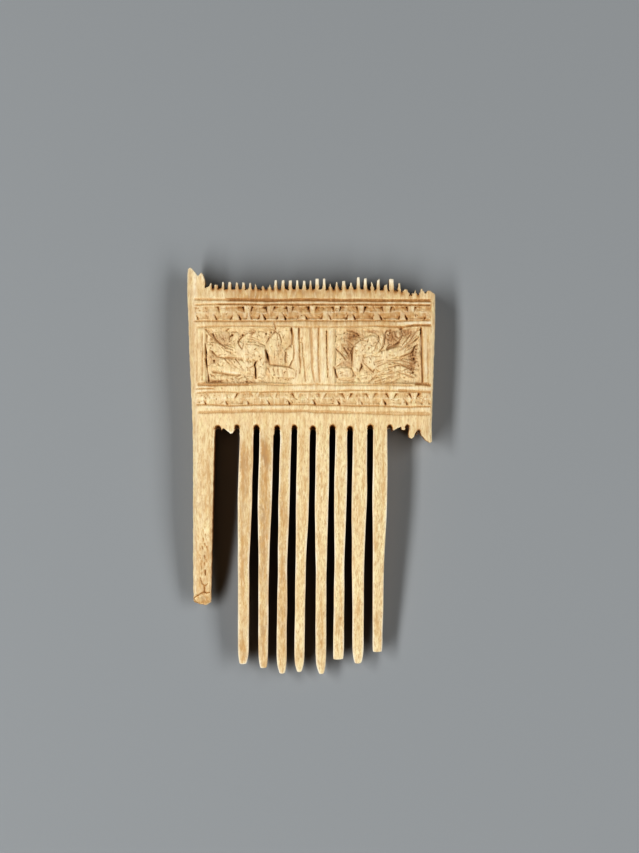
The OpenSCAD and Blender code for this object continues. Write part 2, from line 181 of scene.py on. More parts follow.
# Worn ridges and painted highlights: bright lines along the ridges between the grooves and down the left
# edge, the horn and the bars: half width, strength, and points from left to right
RIDGES = [
    (0.3, 0.5, [(-35, 36.8), (0, 36.6), (18, 36.6)]), (0.32, 0.7, [(18, 36.6), (36, 36.55)]),
    (0.3, 1, [(0.5, 36.65), (4, 36.65)]), (0.18, 0.7, [(-20, 31.4), (-4, 31.5), (12, 31.5), (34, 31.7)]),
    (0.5, 0.1, [(-34, 30.2), (28, 30.2)]), (0.45, 1, [(26, 30.4), (36.2, 30.5)]),
    (0.2, 0.8, [(-35, 11.2), (-30, 11.3)]), (0.22, 1, [(-34.4, 10), (-32, 10.2), (-30, 10.3)]),
    (0.3, 0.9, [(24, 10.9), (31, 10.9), (36.2, 10.6)]), (0.3, 0.5, [(-6, 10.9), (24, 10.9)]),
    (0.25, 0.7, [(-32, 5.1), (-20, 5), (-4, 5.2)]), (0.3, 0.6, [(24, 4.6), (36, 4.6)]),
    (0.3, 0.8, [(-26.8, 15.9), (-21.8, 15.3)]), (0.4, 0.8, [(-35.1, 46), (-35.1, 38)]),
    (0.4, 0.35, [(-35, 38), (-35, 30)]), (0.3, 0.2, [(-34.9, 30), (-34.9, 12)]),
    (0.45, 0.4, [(-34.8, 12), (-34.6, 6), (-34.9, -4), (-34.6, -24)]),
    (0.45, 0.5, [(-4.6, 28.4), (-4.4, 13)]), (0.45, 0.5, [(1.1, 28.4), (1.8, 13)]),
    (0.5, 0.5, [(3.3, 28.4), (3.8, 13)]), (0.45, 0.5, [(5.7, 28.4), (5.9, 13)]),
    (0.3, 0.5, [(-35.1, -24), (-35.2, -52)]), (0.3, 0.5, [(34.3, 28.5), (34.5, 13)]),
]

# Zigzag borders: y limits. Then for each post on the upper and on the lower edge the x of its left
# and right flank, and the depth of the knife slits beside them, from 0 to 1
UPPER_BORDER_Y = (31.5, 35.5)
UPPER_TOP = [
    (-34.5, -32.6, 0.25, 0.1), (-27.8, -25.8, 0.8, 0.3), (-20.2, -18, 0.8, 0.9),
    (-13.3, -11.3, 0.9, 0.6), (-7.1, -5.7, 0.9, 0.6), (-0.5, 1.3, 1, 0.6), (6.8, 8.6, 0.8, 0.7),
    (14, 16, 0.7, 1), (21.6, 23.9, 0.7, 0.7), (29.1, 31.1, 0.7, 0.6),
]
UPPER_LOW = [
    (-35.6, -34.4, 0, 0.5), (-30.9, -28.9, 0.1, 0.7), (-23.7, -21.7, 0.45, 0.9),
    (-19.2, -18.2, 0.1, 0.4), (-15.5, -14.2, 0.3, 0.9), (-9.9, -8.1, 0.35, 0.9), (-3.8, -1.7, 0.3, 0.6),
    (3.4, 5.5, 0.35, 0.6), (11, 12.8, 0.5, 0.75), (18.7, 20.7, 0.4, 0.9), (26.7, 28.4, 0.4, 0.9),
    (34.5, 35.8, 0.6, 0),
]
LOWER_BORDER_Y = (5.95, 9.4)
LOWER_TOP = [
    (-30.9, -29.2, 0.4, 0.1), (-24.3, -22.6, 0.2, 0.7), (-17.5, -15.7, 0.4, 0.4),
    (-12, -10.5, 0.3, 0.4), (-5.2, -3.6, 0.7, 0.3), (2.5, 4.1, 0.5, 0.5), (9.8, 11.7, 0.7, 0.8),
    (17, 18.9, 0.7, 0.6), (23.1, 25.2, 0.8, 0.7), (30, 32, 0.9, 1),
]
LOWER_LOW = [
    (-33.4, -32.1, 0.1, 0.7), (-26.9, -25.6, 0.2, 0.8), (-20.4, -19.1, 0.2, 0.7),
    (-14.2, -12.9, 0.2, 0.8), (-8.1, -6.8, 0.2, 1), (-0.5, 0.8, 0.2, 0.9), (6.8, 8.1, 0.2, 0.9),
    (13.7, 15, 0.2, 0.6), (20.7, 22, 0.2, 1), (27.2, 28.5, 0.3, 0.9), (33.8, 35.2, 0.4, 0.2),
]
# The borders together: y limits, posts on the upper edge and how much they narrow, posts on the
# lower edge and how much they narrow, depth of the chips, their brown, reach and depth of the slits
BORDERS = [
    (UPPER_BORDER_Y, UPPER_TOP, 0.1, UPPER_LOW, 0.4, 0.5, 1.05, 0.42, 1.15),
    (LOWER_BORDER_Y, LOWER_TOP, 0.5, LOWER_LOW, 0.3, 0.32, 0.6, 0.42, 1),
]

# Panel of the birds, and the two sunk fields in it: x limits
PANEL_Y = (12.2, 28.9)
FIELDS_X = [(-31.9, -5.6), (6.9, 33.1)]
FIELD_DEPTH = 0.65

# Raised forms in the sunk fields: x, y, half length, half width, turn in degrees, height
FORMS = [
    # bird on the left: wing, shoulder, neck, head, belly, tail
    (-26, 22.2, 6.4, 1.7, -16, 0.38), (-19.4, 22.2, 3.8, 2.9, -10, 0.5),
    (-15.1, 18.5, 5.6, 1.65, 88, 0.5), (-8.8, 15.6, 4.7, 1.9, -7, 0.45),
    (-22.6, 17.6, 6.6, 2, -6, 0.4), (-25.2, 15.9, 4.8, 0.6, -9, 0.3),
    # the leaves and knobs round it
    (-29.2, 17.6, 1.1, 1, 0, 0.35), (-30.2, 20.7, 1.1, 0.7, -60, 0.25),
    (-11, 24, 3.8, 1.8, 85, 0.38), (-6.5, 20.4, 3.1, 1.2, 88, 0.42),
    (-26.3, 26.4, 1.9, 1.5, 30, 0.25), (-19.3, 26.3, 2, 1.2, 60, 0.3),
    (-22.8, 25.4, 2.4, 0.9, 80, 0.3), (-15.4, 26.7, 1.8, 1.2, 0, 0.3),
    (-30.9, 27.2, 1.6, 0.6, -45, 0.3), (-27.4, 13.9, 2.4, 0.7, 5, 0.25),
    (-19.5, 13.6, 2, 0.7, 10, 0.25), (-8, 12.9, 3, 0.5, 0, 0.2),
    # bird on the right: neck, shoulder, head, body, wing and its two long feathers
    (14, 20.4, 5.2, 1.75, 86, 0.5), (17.6, 23.6, 3.4, 3, 20, 0.5),
    (9.9, 15.4, 2.7, 1.8, 0, 0.48), (19.4, 18.4, 4.3, 2.2, -12, 0.45),
    (24.6, 21.4, 6.6, 1.6, 16, 0.45), (29.3, 24.5, 3.4, 1, 48, 0.42),
    (31, 26.2, 2.9, 0.8, 52, 0.4),
    # its lower feathers and the leaves round it
    (25.8, 18.8, 5.4, 1, -4, 0.42), (25.4, 17, 4.6, 0.8, -8, 0.38),
    (24.4, 15.7, 5.4, 0.9, 8, 0.4), (21.8, 13.7, 4.8, 0.8, 14, 0.36),
    (29.2, 14.8, 2.6, 0.8, -16, 0.36), (11.7, 27, 2, 0.9, 10, 0.28),
    (9, 24.6, 2.2, 1, 20, 0.3), (9.2, 20.4, 1.8, 0.9, -45, 0.3),
    (25.2, 26.6, 1.8, 1.5, 20, 0.3), (20.8, 24.6, 2.6, 0.9, 75, 0.35),
    (16.4, 13.9, 1.9, 1, 10, 0.3), (32.2, 20.5, 2.6, 0.5, 90, 0.25),
]

# Knife cuts: width and depth at the start, width and depth at the end, points. The deepest are dark
CUTS = [
    # frame and bars
    (0.45, 0.25, 0.4, 0.25, [(-34.3, 28.8), (-34.4, 12.6)]),
    (0.4, 0.4, 0.35, 0.4, [(-32.8, 27.2), (-32.7, 20), (-32.8, 13.2)]),
    (0.3, 0.4, 0.6, 0.8, [(-31.9, 24.4), (-31.7, 21.9)]),
    (0.6, 0.8, 0.3, 0.4, [(-31.7, 21.9), (-31.8, 19.9)]),
    (0.6, 0.8, 0.4, 0.6, [(-31.8, 19.6), (-31.3, 16.9)]),
    (0.4, 0.5, 0.35, 0.45, [(-31.3, 16.9), (-31.1, 15.6)]),
    (0.4, 0.5, 0.7, 0.95, [(-31.1, 15.6), (-30.8, 13.1)]),
    (0.55, 0.8, 0.5, 0.7, [(-5.9, 28.9), (-5.5, 26.5), (-5.6, 24.1)]),
    (0.6, 0.8, 0.5, 0.65, [(-3.7, 28.8), (-3.65, 25.7)]),
    (0.45, 0.6, 0.4, 0.5, [(-3.65, 25.7), (-3.5, 21.4), (-3.2, 17.5), (-3.4, 15.4)]),
    (0.35, 0.45, 0.3, 0.4, [(-2.6, 26), (-3.2, 24.3)]),
    (0.4, 0.5, 0.35, 0.45, [(-2.6, 24.4), (-2.5, 20.8), (-2, 16.9), (-1.7, 13)]),
    (1, 0.5, 0.6, 0.4, [(-0.1, 28.8), (0.1, 23.8), (0.3, 16.9), (1, 12.7)]),
    (0.5, 0.55, 0.4, 0.4, [(2.2, 28.8), (2.1, 19), (2.6, 12.7)]),
    (0.4, 0.8, 0.35, 0.5, [(4.6, 28.2), (4.7, 20.8), (5, 14)]),
    (0.3, 0.2, 0.3, 0.2, [(6.7, 28.6), (6.7, 24)]),
    (0.7, 0.9, 0.65, 0.85, [(33.1, 29), (33.2, 26.5), (33.3, 19.3), (33.5, 12.4)]),
    (0.3, 0.35, 0.3, 0.35, [(35.1, 27), (35.2, 20), (35.1, 14)]),
    # bird on the left
    (0.35, 0.45, 0.3, 0.4, [(-32, 28.7), (-30.3, 26.8), (-27.6, 24.1)]),
    (0.7, 0.9, 0.3, 0.3, [(-29.6, 27.1), (-28.8, 25.6), (-27.3, 24.2), (-25.2, 22.9), (-23.4, 22.3)]),
    (0.3, 0.35, 0.3, 0.3, [(-27.2, 28.8), (-26.9, 27.9)]),
    (0.4, 0.5, 0.4, 0.55, [(-25.6, 28.2), (-24.8, 28.7)]),
    (0.25, 0.3, 0.2, 0.25, [(-28.7, 26.7), (-28, 25.7), (-26.6, 23.9)]),
    (0.25, 0.3, 0.25, 0.3, [(-29.3, 27.6), (-27.2, 27.9)]),
    (0.45, 0.7, 0.25, 0.35, [(-23.7, 26.8), (-24.6, 26.2), (-24.7, 24.8)]),
    (0.3, 0.35, 0.35, 0.4, [(-24.9, 24.4), (-26.1, 23.9), (-24.3, 24)]),
    (0.35, 0.4, 0.3, 0.35, [(-23.9, 27.7), (-22.8, 27.9)]),
    (0.25, 0.3, 0.35, 0.45, [(-18.6, 26.6), (-17.4, 27.3)]),
    (0.25, 0.3, 0.25, 0.35, [(-19.2, 27.7), (-18.2, 28.2)]),
    (0.3, 0.4, 0.25, 0.35, [(-19.2, 25.7), (-17.3, 25.4), (-15.9, 24.9), (-14.6, 24)]),
    (0.3, 0.35, 0.25, 0.3, [(-18.6, 26.4), (-16.5, 25.8), (-15.2, 25)]),
    (0.22, 0.25, 0.2, 0.2, [(-12.3, 23.2), (-11.4, 21.4)]),
    (0.6, 0.8, 0.4, 0.5, [(-29.8, 21.9), (-28.5, 20.4)]),
    (0.3, 0.45, 0.25, 0.35, [(-30, 14.9), (-29.3, 14.6), (-28.9, 13.9)]),
    (0.4, 0.45, 0.4, 0.5, [(-29.8, 12.8), (-27, 13)]),
    (0.25, 0.35, 0.25, 0.35, [(-23, 14.1), (-21.8, 13.5), (-20.8, 14)]),
    (0.25, 0.35, 0.25, 0.35, [(-19.9, 14.2), (-18.8, 13.6)]),
    (0.25, 0.3, 0.2, 0.25, [(-15.8, 13.3), (-13.4, 12.6)]),
    (0.4, 0.35, 0.45, 0.6, [(-18.4, 28), (-20.4, 26.6), (-21.6, 25.4), (-21.9, 24.4)]),
    (0.45, 0.6, 0.3, 0.3, [(-21.9, 24.4), (-21.4, 23.4), (-20.8, 22.6), (-20.3, 24), (-20.5, 25.4)]),
    (0.5, 0.45, 0.4, 0.3, [(-18.4, 27.4), (-17, 27.6)]),
    (0.35, 0.25, 0.3, 0.3, [(-18.8, 24.8), (-17.2, 24.9), (-15.2, 24.3), (-13.7, 23.5)]),
    (0.3, 0.35, 0.3, 0.3, [(-19.6, 24.1), (-16.6, 23.9), (-14.4, 23.2)]),
    (0.4, 0.4, 0.45, 0.6, [(-13.4, 24.5), (-12.4, 26.2), (-10.7, 27.9)]),
    (0.4, 0.5, 0.3, 0.3, [(-9.6, 27), (-9.1, 25.6), (-8.9, 24)]),
    (0.3, 0.35, 0.25, 0.25, [(-10.1, 26.6), (-10.4, 24), (-9.7, 22)]),
    (0.3, 0.3, 0.35, 0.4, [(-14.2, 28.4), (-10.9, 28.4)]),
    (0.45, 0.8, 0.3, 0.6, [(-10.7, 28.7), (-11, 29.6), (-11.1, 30.9)]),
    (0.5, 0.8, 0.9, 1.2, [(-13.8, 22.3), (-13.1, 20.2)]),
    (1, 1.2, 0.6, 0.35, [(-13.1, 20.2), (-12.5, 18)]),
    (0.5, 0.8, 0.5, 1.1, [(-16.4, 18.9), (-17, 17.9), (-16.7, 16.6)]),
    (0.5, 1.1, 0.4, 0.8, [(-16.7, 16.6), (-16.6, 13.8)]),
    (0.3, 0.3, 0.4, 0.5, [(-19.2, 16.6), (-17, 17.7)]),
    (0.5, 0.45, 0.4, 0.3, [(-12.5, 18), (-10.8, 17.7), (-8.2, 17.5), (-6.3, 17), (-4.8, 16.4)]),
    (0.3, 0.3, 0.35, 0.4, [(-9.4, 14), (-6.6, 13.8), (-4.5, 13.9)]),
    (0.35, 0.4, 0.35, 0.4, [(-4.3, 16.3), (-4.6, 14.4)]),
    (0.3, 0.4, 0.3, 0.3, [(-13, 16.9), (-12.4, 15.6)]),
    (0.4, 0.5, 0.4, 0.5, [(-7.5, 21.6), (-7.7, 19.6), (-7.5, 18.6)]),
    (0.35, 0.45, 0.45, 0.6, [(-5.3, 23.7), (-5.1, 21.4), (-5.3, 19.6), (-6.4, 17.5)]),
    (0.35, 0.4, 0.3, 0.3, [(-5.7, 24.1), (-7.5, 22.6)]),
    (0.5, 0.5, 0.5, 0.5, [(-30.4, 22.3), (-29.6, 21.6), (-28.4, 20.4), (-26.2, 19.9)]),
    (0.5, 0.5, 0.35, 0.3, [(-26.2, 19.9), (-23.4, 20), (-20.9, 19.8)]),
    (0.5, 0.6, 0.4, 0.5, [(-29.6, 15.7), (-27, 15.3), (-25, 14.9), (-22.2, 14.6), (-21.3, 14.8)]),
    (0.45, 0.45, 0.35, 0.35, [(-22.6, 14.1), (-21.3, 14.9)]),
    # bird on the right
    (0.5, 0.45, 0.6, 0.75, [(10.8, 28.3), (12.6, 27.9), (14.3, 26.8)]),
    (0.35, 0.35, 0.4, 0.5, [(10.2, 26.4), (11.7, 25.9), (13.2, 25.6)]),
    (0.35, 0.4, 0.4, 0.5, [(10.6, 25.2), (12.5, 23.9)]),
    (0.35, 0.5, 0.5, 0.7, [(7.5, 22.6), (8.9, 21.3), (10.3, 19.6)]),
    (0.5, 0.85, 0.3, 0.5, [(9.9, 22.9), (10.6, 21.8), (11.5, 20.3)]),
    (0.3, 0.35, 0.3, 0.4, [(9.2, 23.9), (10.2, 22.7)]),
    (0.3, 0.35, 0.3, 0.45, [(12.4, 26.2), (13.4, 26.5), (14.8, 26)]),
    (0.3, 0.4, 0.25, 0.3, [(14.8, 25.4), (16.6, 25)]),
    (0.25, 0.3, 0.25, 0.35, [(11, 27.3), (12.4, 26.8)]),
    (0.25, 0.3, 0.25, 0.35, [(10.8, 24.7), (11.8, 23.2)]),
    (0.25, 0.3, 0.25, 0.3, [(12.4, 16), (12.7, 14.8), (12, 13.6)]),
    (0.2, 0.25, 0.2, 0.2, [(8.8, 15.9), (10, 15.5)]),
    (0.2, 0.25, 0.2, 0.2, [(9.4, 14.9), (10.8, 14.6), (11.6, 15.2)]),
    (0.35, 0.5, 0.35, 0.5, [(12.2, 22.3), (11.6, 20.6)]),
    (0.4, 0.4, 0.3, 0.3, [(9.2, 24.1), (10.8, 23.6)]),
    (0.4, 0.45, 0.5, 0.7, [(14.4, 25), (13.3, 24.1), (12.5, 22.9), (12.3, 20.8)]),
    (0.5, 0.7, 0.3, 0.4, [(12.3, 20.8), (12.4, 18.7), (12.6, 17.2)]),
    (0.4, 0.6, 0.5, 0.75, [(6.8, 17.2), (7.3, 15.7), (7.9, 14.1)]),
    (0.35, 0.4, 0.3, 0.35, [(7.6, 17.3), (9.3, 18.4)]),
    (0.35, 0.4, 0.3, 0.3, [(13, 15.2), (12.4, 13.9)]),
    (0.35, 0.35, 0.35, 0.35, [(8.3, 13.5), (10.8, 13.1), (12.8, 13.5)]),
    (0.45, 0.8, 0.6, 1.1, [(15.1, 18.1), (15.2, 17.4)]),
    (0.6, 1.1, 0.35, 0.5, [(15.2, 17.4), (14.5, 15.9)]),
    (0.35, 0.45, 0.45, 0.6, [(15.6, 19.3), (15.7, 18.4), (17, 17.2), (18.6, 15.7), (19, 16.4)]),
    (0.7, 0.5, 0.4, 0.45, [(17.2, 28.1), (19.1, 27.6), (20.3, 26.5), (20.5, 25.3)]),
    (0.4, 0.5, 0.3, 0.35, [(20.5, 25.3), (19.6, 23.8), (19, 22.1)]),
    (0.35, 0.4, 0.3, 0.3, [(21.8, 23.5), (20.6, 22)]),
    (0.35, 0.5, 0.35, 0.45, [(22, 27.2), (22, 24.1)]),
    (0.35, 0.5, 0.3, 0.45, [(23.2, 24.9), (23.6, 23.9), (24.2, 24.1)]),
    (0.22, 0.3, 0.2, 0.3, [(24.6, 28.1), (25.6, 27.7)]),
    (0.5, 0.7, 0.4, 0.5, [(23.9, 28.3), (22.7, 28.1), (22.3, 27.2), (22.3, 26)]),
    (0.35, 0.6, 0.35, 0.5, [(22.8, 22.7), (23.5, 24), (24.3, 24.4)]),
    (0.6, 0.8, 0.7, 0.9, [(23.2, 22.9), (24.8, 23.7), (26.4, 24.7)]),
    (0.35, 0.6, 0.3, 0.5, [(27.6, 28.2), (28.2, 27.5), (29, 27.7), (29.3, 28.4)]),
    (0.3, 0.55, 0.3, 0.5, [(24, 27.6), (24.6, 26.4), (24.2, 25.2)]),
    (0.3, 0.5, 0.3, 0.6, [(25.2, 27.9), (25.4, 26.6), (26.2, 25.9)]),
    (0.3, 0.6, 0.25, 0.5, [(23, 26.9), (23.9, 26.2), (23.2, 25.2)]),
    (0.3, 0.6, 0.25, 0.5, [(24.9, 25.7), (25.8, 25.1)]),
    (0.5, 0.7, 0.4, 0.5, [(26.5, 28.9), (27.1, 28.2), (27.6, 26.8)]),
    (0.45, 0.5, 0.6, 0.7, [(22.8, 22.3), (24.1, 23.1), (25.6, 23.7), (26.3, 24.6)]),
    (0.45, 0.6, 0.4, 0.5, [(26.4, 24.6), (27, 25.8), (27.4, 26.7)]),
    (0.45, 0.65, 0.35, 0.5, [(27.4, 26.8), (28.5, 26.9), (29.6, 27.6)]),
    (0.4, 0.55, 0.35, 0.45, [(23.7, 24), (25.6, 24.4)]),
    (0.3, 0.35, 0.3, 0.35, [(31, 28.2), (28.4, 25.1), (27, 23.1)]),
    (0.3, 0.4, 0.25, 0.3, [(32, 28.3), (30.4, 26.3)]),
    (0.25, 0.3, 0.25, 0.3, [(28.4, 26.7), (27.2, 24.9)]),
    (0.3, 0.45, 0.3, 0.4, [(29.2, 20.6), (30.4, 20.2)]),
    (0.35, 0.5, 0.3, 0.4, [(30.3, 19.9), (31.6, 19.2)]),
    (0.3, 0.45, 0.3, 0.45, [(28.9, 17), (30.2, 16.2), (31.2, 16.6)]),
    (0.3, 0.4, 0.3, 0.4, [(28.2, 18.2), (30.8, 17.2)]),
    (0.4, 0.45, 0.45, 0.55, [(27.5, 22.9), (29.9, 25.3), (31.5, 27.8)]),
    (0.4, 0.4, 0.45, 0.6, [(26.7, 22.3), (28.5, 23.5), (30, 24.2), (31.8, 25.7)]),
    (0.3, 0.35, 0.35, 0.4, [(28.2, 22), (30, 22.9)]),
    (0.35, 0.5, 0.6, 0.85, [(32.1, 24), (31.1, 23.3)]),
    (0.65, 0.9, 0.6, 0.8, [(31.1, 23.3), (30.7, 22.3), (30.2, 21.5)]),
    (0.5, 0.6, 0.3, 0.35, [(30.2, 21.5), (28.6, 20.9), (26.6, 20.1)]),
    (0.4, 0.4, 0.4, 0.5, [(23, 19.2), (27.2, 19.2), (30.8, 18.1)]),
    (0.35, 0.4, 0.45, 0.6, [(24.2, 18.7), (26.6, 18.2), (28.2, 17.4), (29.7, 16.6)]),
    (0.35, 0.35, 0.3, 0.3, [(19.3, 18.7), (21.8, 19.4)]),
    (0.35, 0.4, 0.3, 0.35, [(19.8, 17.3), (22.4, 18.4), (24.2, 19.3)]),
    (0.35, 0.4, 0.35, 0.45, [(21.8, 16.6), (26.1, 17.7)]),
    (0.35, 0.4, 0.35, 0.4, [(20.3, 14.8), (24.2, 15.3), (26.1, 16)]),
    (0.4, 0.5, 0.4, 0.5, [(26.7, 15.4), (28.4, 15), (31.2, 13.9)]),
    (0.35, 0.45, 0.3, 0.35, [(19.6, 14.8), (18.6, 13.6), (17.4, 12.6)]),
    (0.35, 0.4, 0.35, 0.4, [(19.2, 12.8), (20.7, 13.3), (24.8, 14.5)]),
    (0.35, 0.4, 0.3, 0.35, [(24.3, 12.6), (26.9, 14)]),
    (0.3, 0.3, 0.3, 0.3, [(14.7, 13.6), (16.8, 14.2)]),
    (0.35, 0.35, 0.3, 0.3, [(16.4, 20.2), (20.6, 20.4)]),
    (0.4, 0.5, 0.55, 0.7, [(19.5, 29.5), (24, 29.3), (28, 29.2)]),
    # scratches in the borders
    (0.2, 0.35, 0.3, 0.5, [(-22.8, 35), (-20.5, 35.1)]),
    (0.2, 0.3, 0.35, 0.6, [(-15.4, 35), (-13.3, 35)]),
    (0.35, 0.6, 0.2, 0.3, [(-11.2, 34.7), (-8.8, 35.6)]),
    (0.3, 0.5, 0.45, 0.9, [(-8.3, 34.9), (-7.1, 34.9)]),
    (0.2, 0.3, 0.2, 0.35, [(1.2, 35.1), (5.3, 35.2)]),
    (0.25, 0.4, 0.45, 0.8, [(5.3, 35.1), (6.8, 35.1)]),
    (0.3, 0.35, 0.25, 0.25, [(-26.2, 34.9), (-24.7, 35.1)]),
    (0.35, 0.35, 0.3, 0.3, [(-34.9, 34.9), (-33.9, 35)]),
    (0.25, 0.35, 0.2, 0.3, [(18.5, 36), (19, 34.9), (19.4, 34)]),
    (0.3, 0.4, 0.25, 0.3, [(19.6, 35.1), (21.4, 34.7)]),
    (0.25, 0.35, 0.2, 0.25, [(31.9, 8.9), (34.4, 8)]),
    (0.25, 0.35, 0.2, 0.25, [(32.4, 8.1), (34.6, 7)]),
    (0.25, 0.3, 0.2, 0.25, [(31.2, 7.3), (33.7, 6.4)]),
    (0.3, 0.4, 0.25, 0.3, [(33.2, 6.2), (34.2, 8.4)]),
    (0.2, 0.3, 0.2, 0.3, [(34.7, 6.2), (34.9, 8.6)]),
    # cracks: at the top edge, across the end of the guard tooth
    (0.15, 0.3, 0.1, 0.2, [(-21.2, 40), (-21.2, 37.8)]),
    (0.2, 0.5, 0.3, 0.8, [(-35.8, -53), (-34.7, -52.2), (-33.4, -51.3), (-32.4, -50.9)]),
    (0.35, 0.9, 0.2, 0.5, [(-32.4, -50.9), (-31.8, -51.2), (-30.4, -50.9)]),
    (0.25, 0.4, 0.4, 0.6, [(-33.6, -46.4), (-33.1, -48.3), (-32.4, -49), (-32.4, -50.9)]),
    (0.2, 0.4, 0.3, 0.5, [(-31.2, -48.2), (-32.2, -49)]),
    (0.25, 0.3, 0.25, 0.35, [(-33.8, -39.2), (-33.2, -42), (-33.1, -44)]),
    # short marks on the teeth
    (0.2, 0.3, 0.3, 0.5, [(8.2, -58.7), (8.9, -58.9), (9.1, -58.3)]),
    (0.2, 0.2, 0.2, 0.2, [(-3.7, -47.9), (-2.3, -48.3)]),
    (0.25, 0.3, 0.2, 0.2, [(3.3, -63.4), (3, -66.5)]),
    (0.25, 0.3, 0.2, 0.2, [(-9.4, -21), (-8.8, -25), (-9, -29)]),
    (0.2, 0.2, 0.2, 0.2, [(-14.2, -63.2), (-14.6, -65.6)]),
]

# Rows of like strokes: how many, width, depth, the first stroke and the last one
HATCHES = [
    # on the left bird: wing, shoulder, breast, leaves
    (5, 0.3, 0.5, [(-26, 19.7), (-24.3, 17.6)], [(-19.4, 19.4), (-18.2, 18)]),
    (4, 0.25, 0.4, [(-28, 23.4), (-26.6, 22.4)], [(-24.4, 21.8), (-23, 21)]),
    (4, 0.25, 0.35, [(-24.8, 17.6), (-23, 16.6)], [(-19.6, 17.4), (-18.2, 16.3)]),
    (4, 0.22, 0.35, [(-12, 22.6), (-11.7, 19.4)], [(-8.7, 21.8), (-8.6, 18.6)]),
    (4, 0.25, 0.4, [(-28.6, 27.4), (-27.4, 25.4)], [(-25.6, 26.6), (-25.4, 24.8)]),
    (5, 0.22, 0.35, [(-11.6, 16.6), (-11, 14.8)], [(-5.8, 16), (-5.4, 14.2)]),
    # on the right bird: wing tips, lower feathers, the ground above them
    (5, 0.28, 0.5, [(28.9, 24.4), (27.4, 22.8)], [(30.4, 23.2), (28.6, 21.7)]),
    (4, 0.25, 0.45, [(21.6, 18.9), (19.8, 18.1)], [(27.6, 19.6), (24.6, 18.6)]),
    (3, 0.25, 0.6, [(23.6, 27.6), (23.4, 25.2)], [(27.2, 26.6), (25.6, 25)]),
    (4, 0.25, 0.45, [(30.6, 27.8), (28.8, 25.8)], [(32.6, 26.2), (30.6, 24.6)]),
    (4, 0.22, 0.35, [(15.2, 24.6), (14.4, 22.2)], [(19, 22.6), (17, 20.8)]),
    (4, 0.25, 0.4, [(21.8, 15.6), (19.6, 14.4)], [(29.4, 16.6), (26, 15.4)]),
    (4, 0.25, 0.45, [(11.8, 24.6), (10.8, 22.8)], [(12, 21.4), (10.6, 19.6)]),
]
# How much wider than in the table each cut is, and its darkness by its depth
CUT_SPREAD = 0.1
CUT_BROWN = ([0, 0.3, 0.6, 1], [0, 0.45, 0.68, 0.95])

# Pits: x, y, radius, depth
PITS = [
    (-29.2, 19.1, 0.45, 0.9), (-30.4, 24.1, 0.35, 0.6), (-29.9, 14.6, 0.4, 0.6),
    (-13.6, 27.2, 0.35, 0.8), (-12, 27.6, 0.3, 0.7), (-11.1, 14.8, 0.25, 0.7),
    (-9.8, 13.9, 0.3, 0.8), (-26.8, 10.9, 0.25, 0.6), (28, 28, 0.4, 0.8),
    (30.9, 19.7, 0.6, 1), (30, 20.6, 0.4, 0.7), (31.3, 18.6, 0.4, 0.7), (30.2, 16.6, 0.5, 0.9),
    (30.6, 15.6, 0.45, 0.9), (26.4, 17.7, 0.3, 0.6), (14.3, 26.7, 0.45, 0.8),
    (-0.8, 34.8, 0.6, 1), (-10.1, 32.4, 0.5, 0.4), (-5.4, 31.9, 0.3, 0.4),
    (13, 26.6, 0.5, 0.9), (-23.7, 26.8, 0.5, 1), (-20.5, 26.8, 0.4, 0.9), (9.9, 22.9, 0.4, 0.9),
    (31.6, 22.6, 0.4, 0.8), (24.2, 24, 0.5, 0.8), (25.9, 24.2, 0.4, 0.7), (23.1, 25.6, 0.35, 0.7),
    (26.9, 28.6, 0.45, 0.9), (29.2, 27.4, 0.3, 0.6), (-17.3, 27.6, 0.3, 0.7),
    (23.3, 31, 0.3, 0.6), (25.1, 31, 0.4, 0.9), (27.1, 28.8, 0.6, 1), (28.4, 28, 0.5, 0.9),
    (29.2, 27.5, 0.45, 0.8), (12.9, 26.7, 0.6, 1), (12.2, 26.3, 0.4, 0.8), (30.6, 20.9, 0.4, 0.9),
]

# Specks up the guard tooth: x, y of the upper end, length, depth
SPECKS = [
    (-32.2, -39.7, 0.9, 0.5), (-32.9, -37, 0.7, 0.4), (-32.1, -36, 0.8, 0.4), (-31.1, -37.9, 0.8, 0.5),
    (-31.5, -36.9, 0.5, 0.45), (-32.3, -42, 0.8, 0.45), (-31.9, -33.2, 0.9, 0.35),
    (-33.6, -37.5, 0.8, 0.35), (-32.6, -34.5, 0.8, 0.35), (-32, -30.8, 0.8, 0.3),
    (-33.2, -44.9, 0.8, 0.4), (-31.6, -41, 0.6, 0.3), (-32.1, -44.2, 1.5, 0.65), (-32.6, -31.9, 1, 0.25),
]
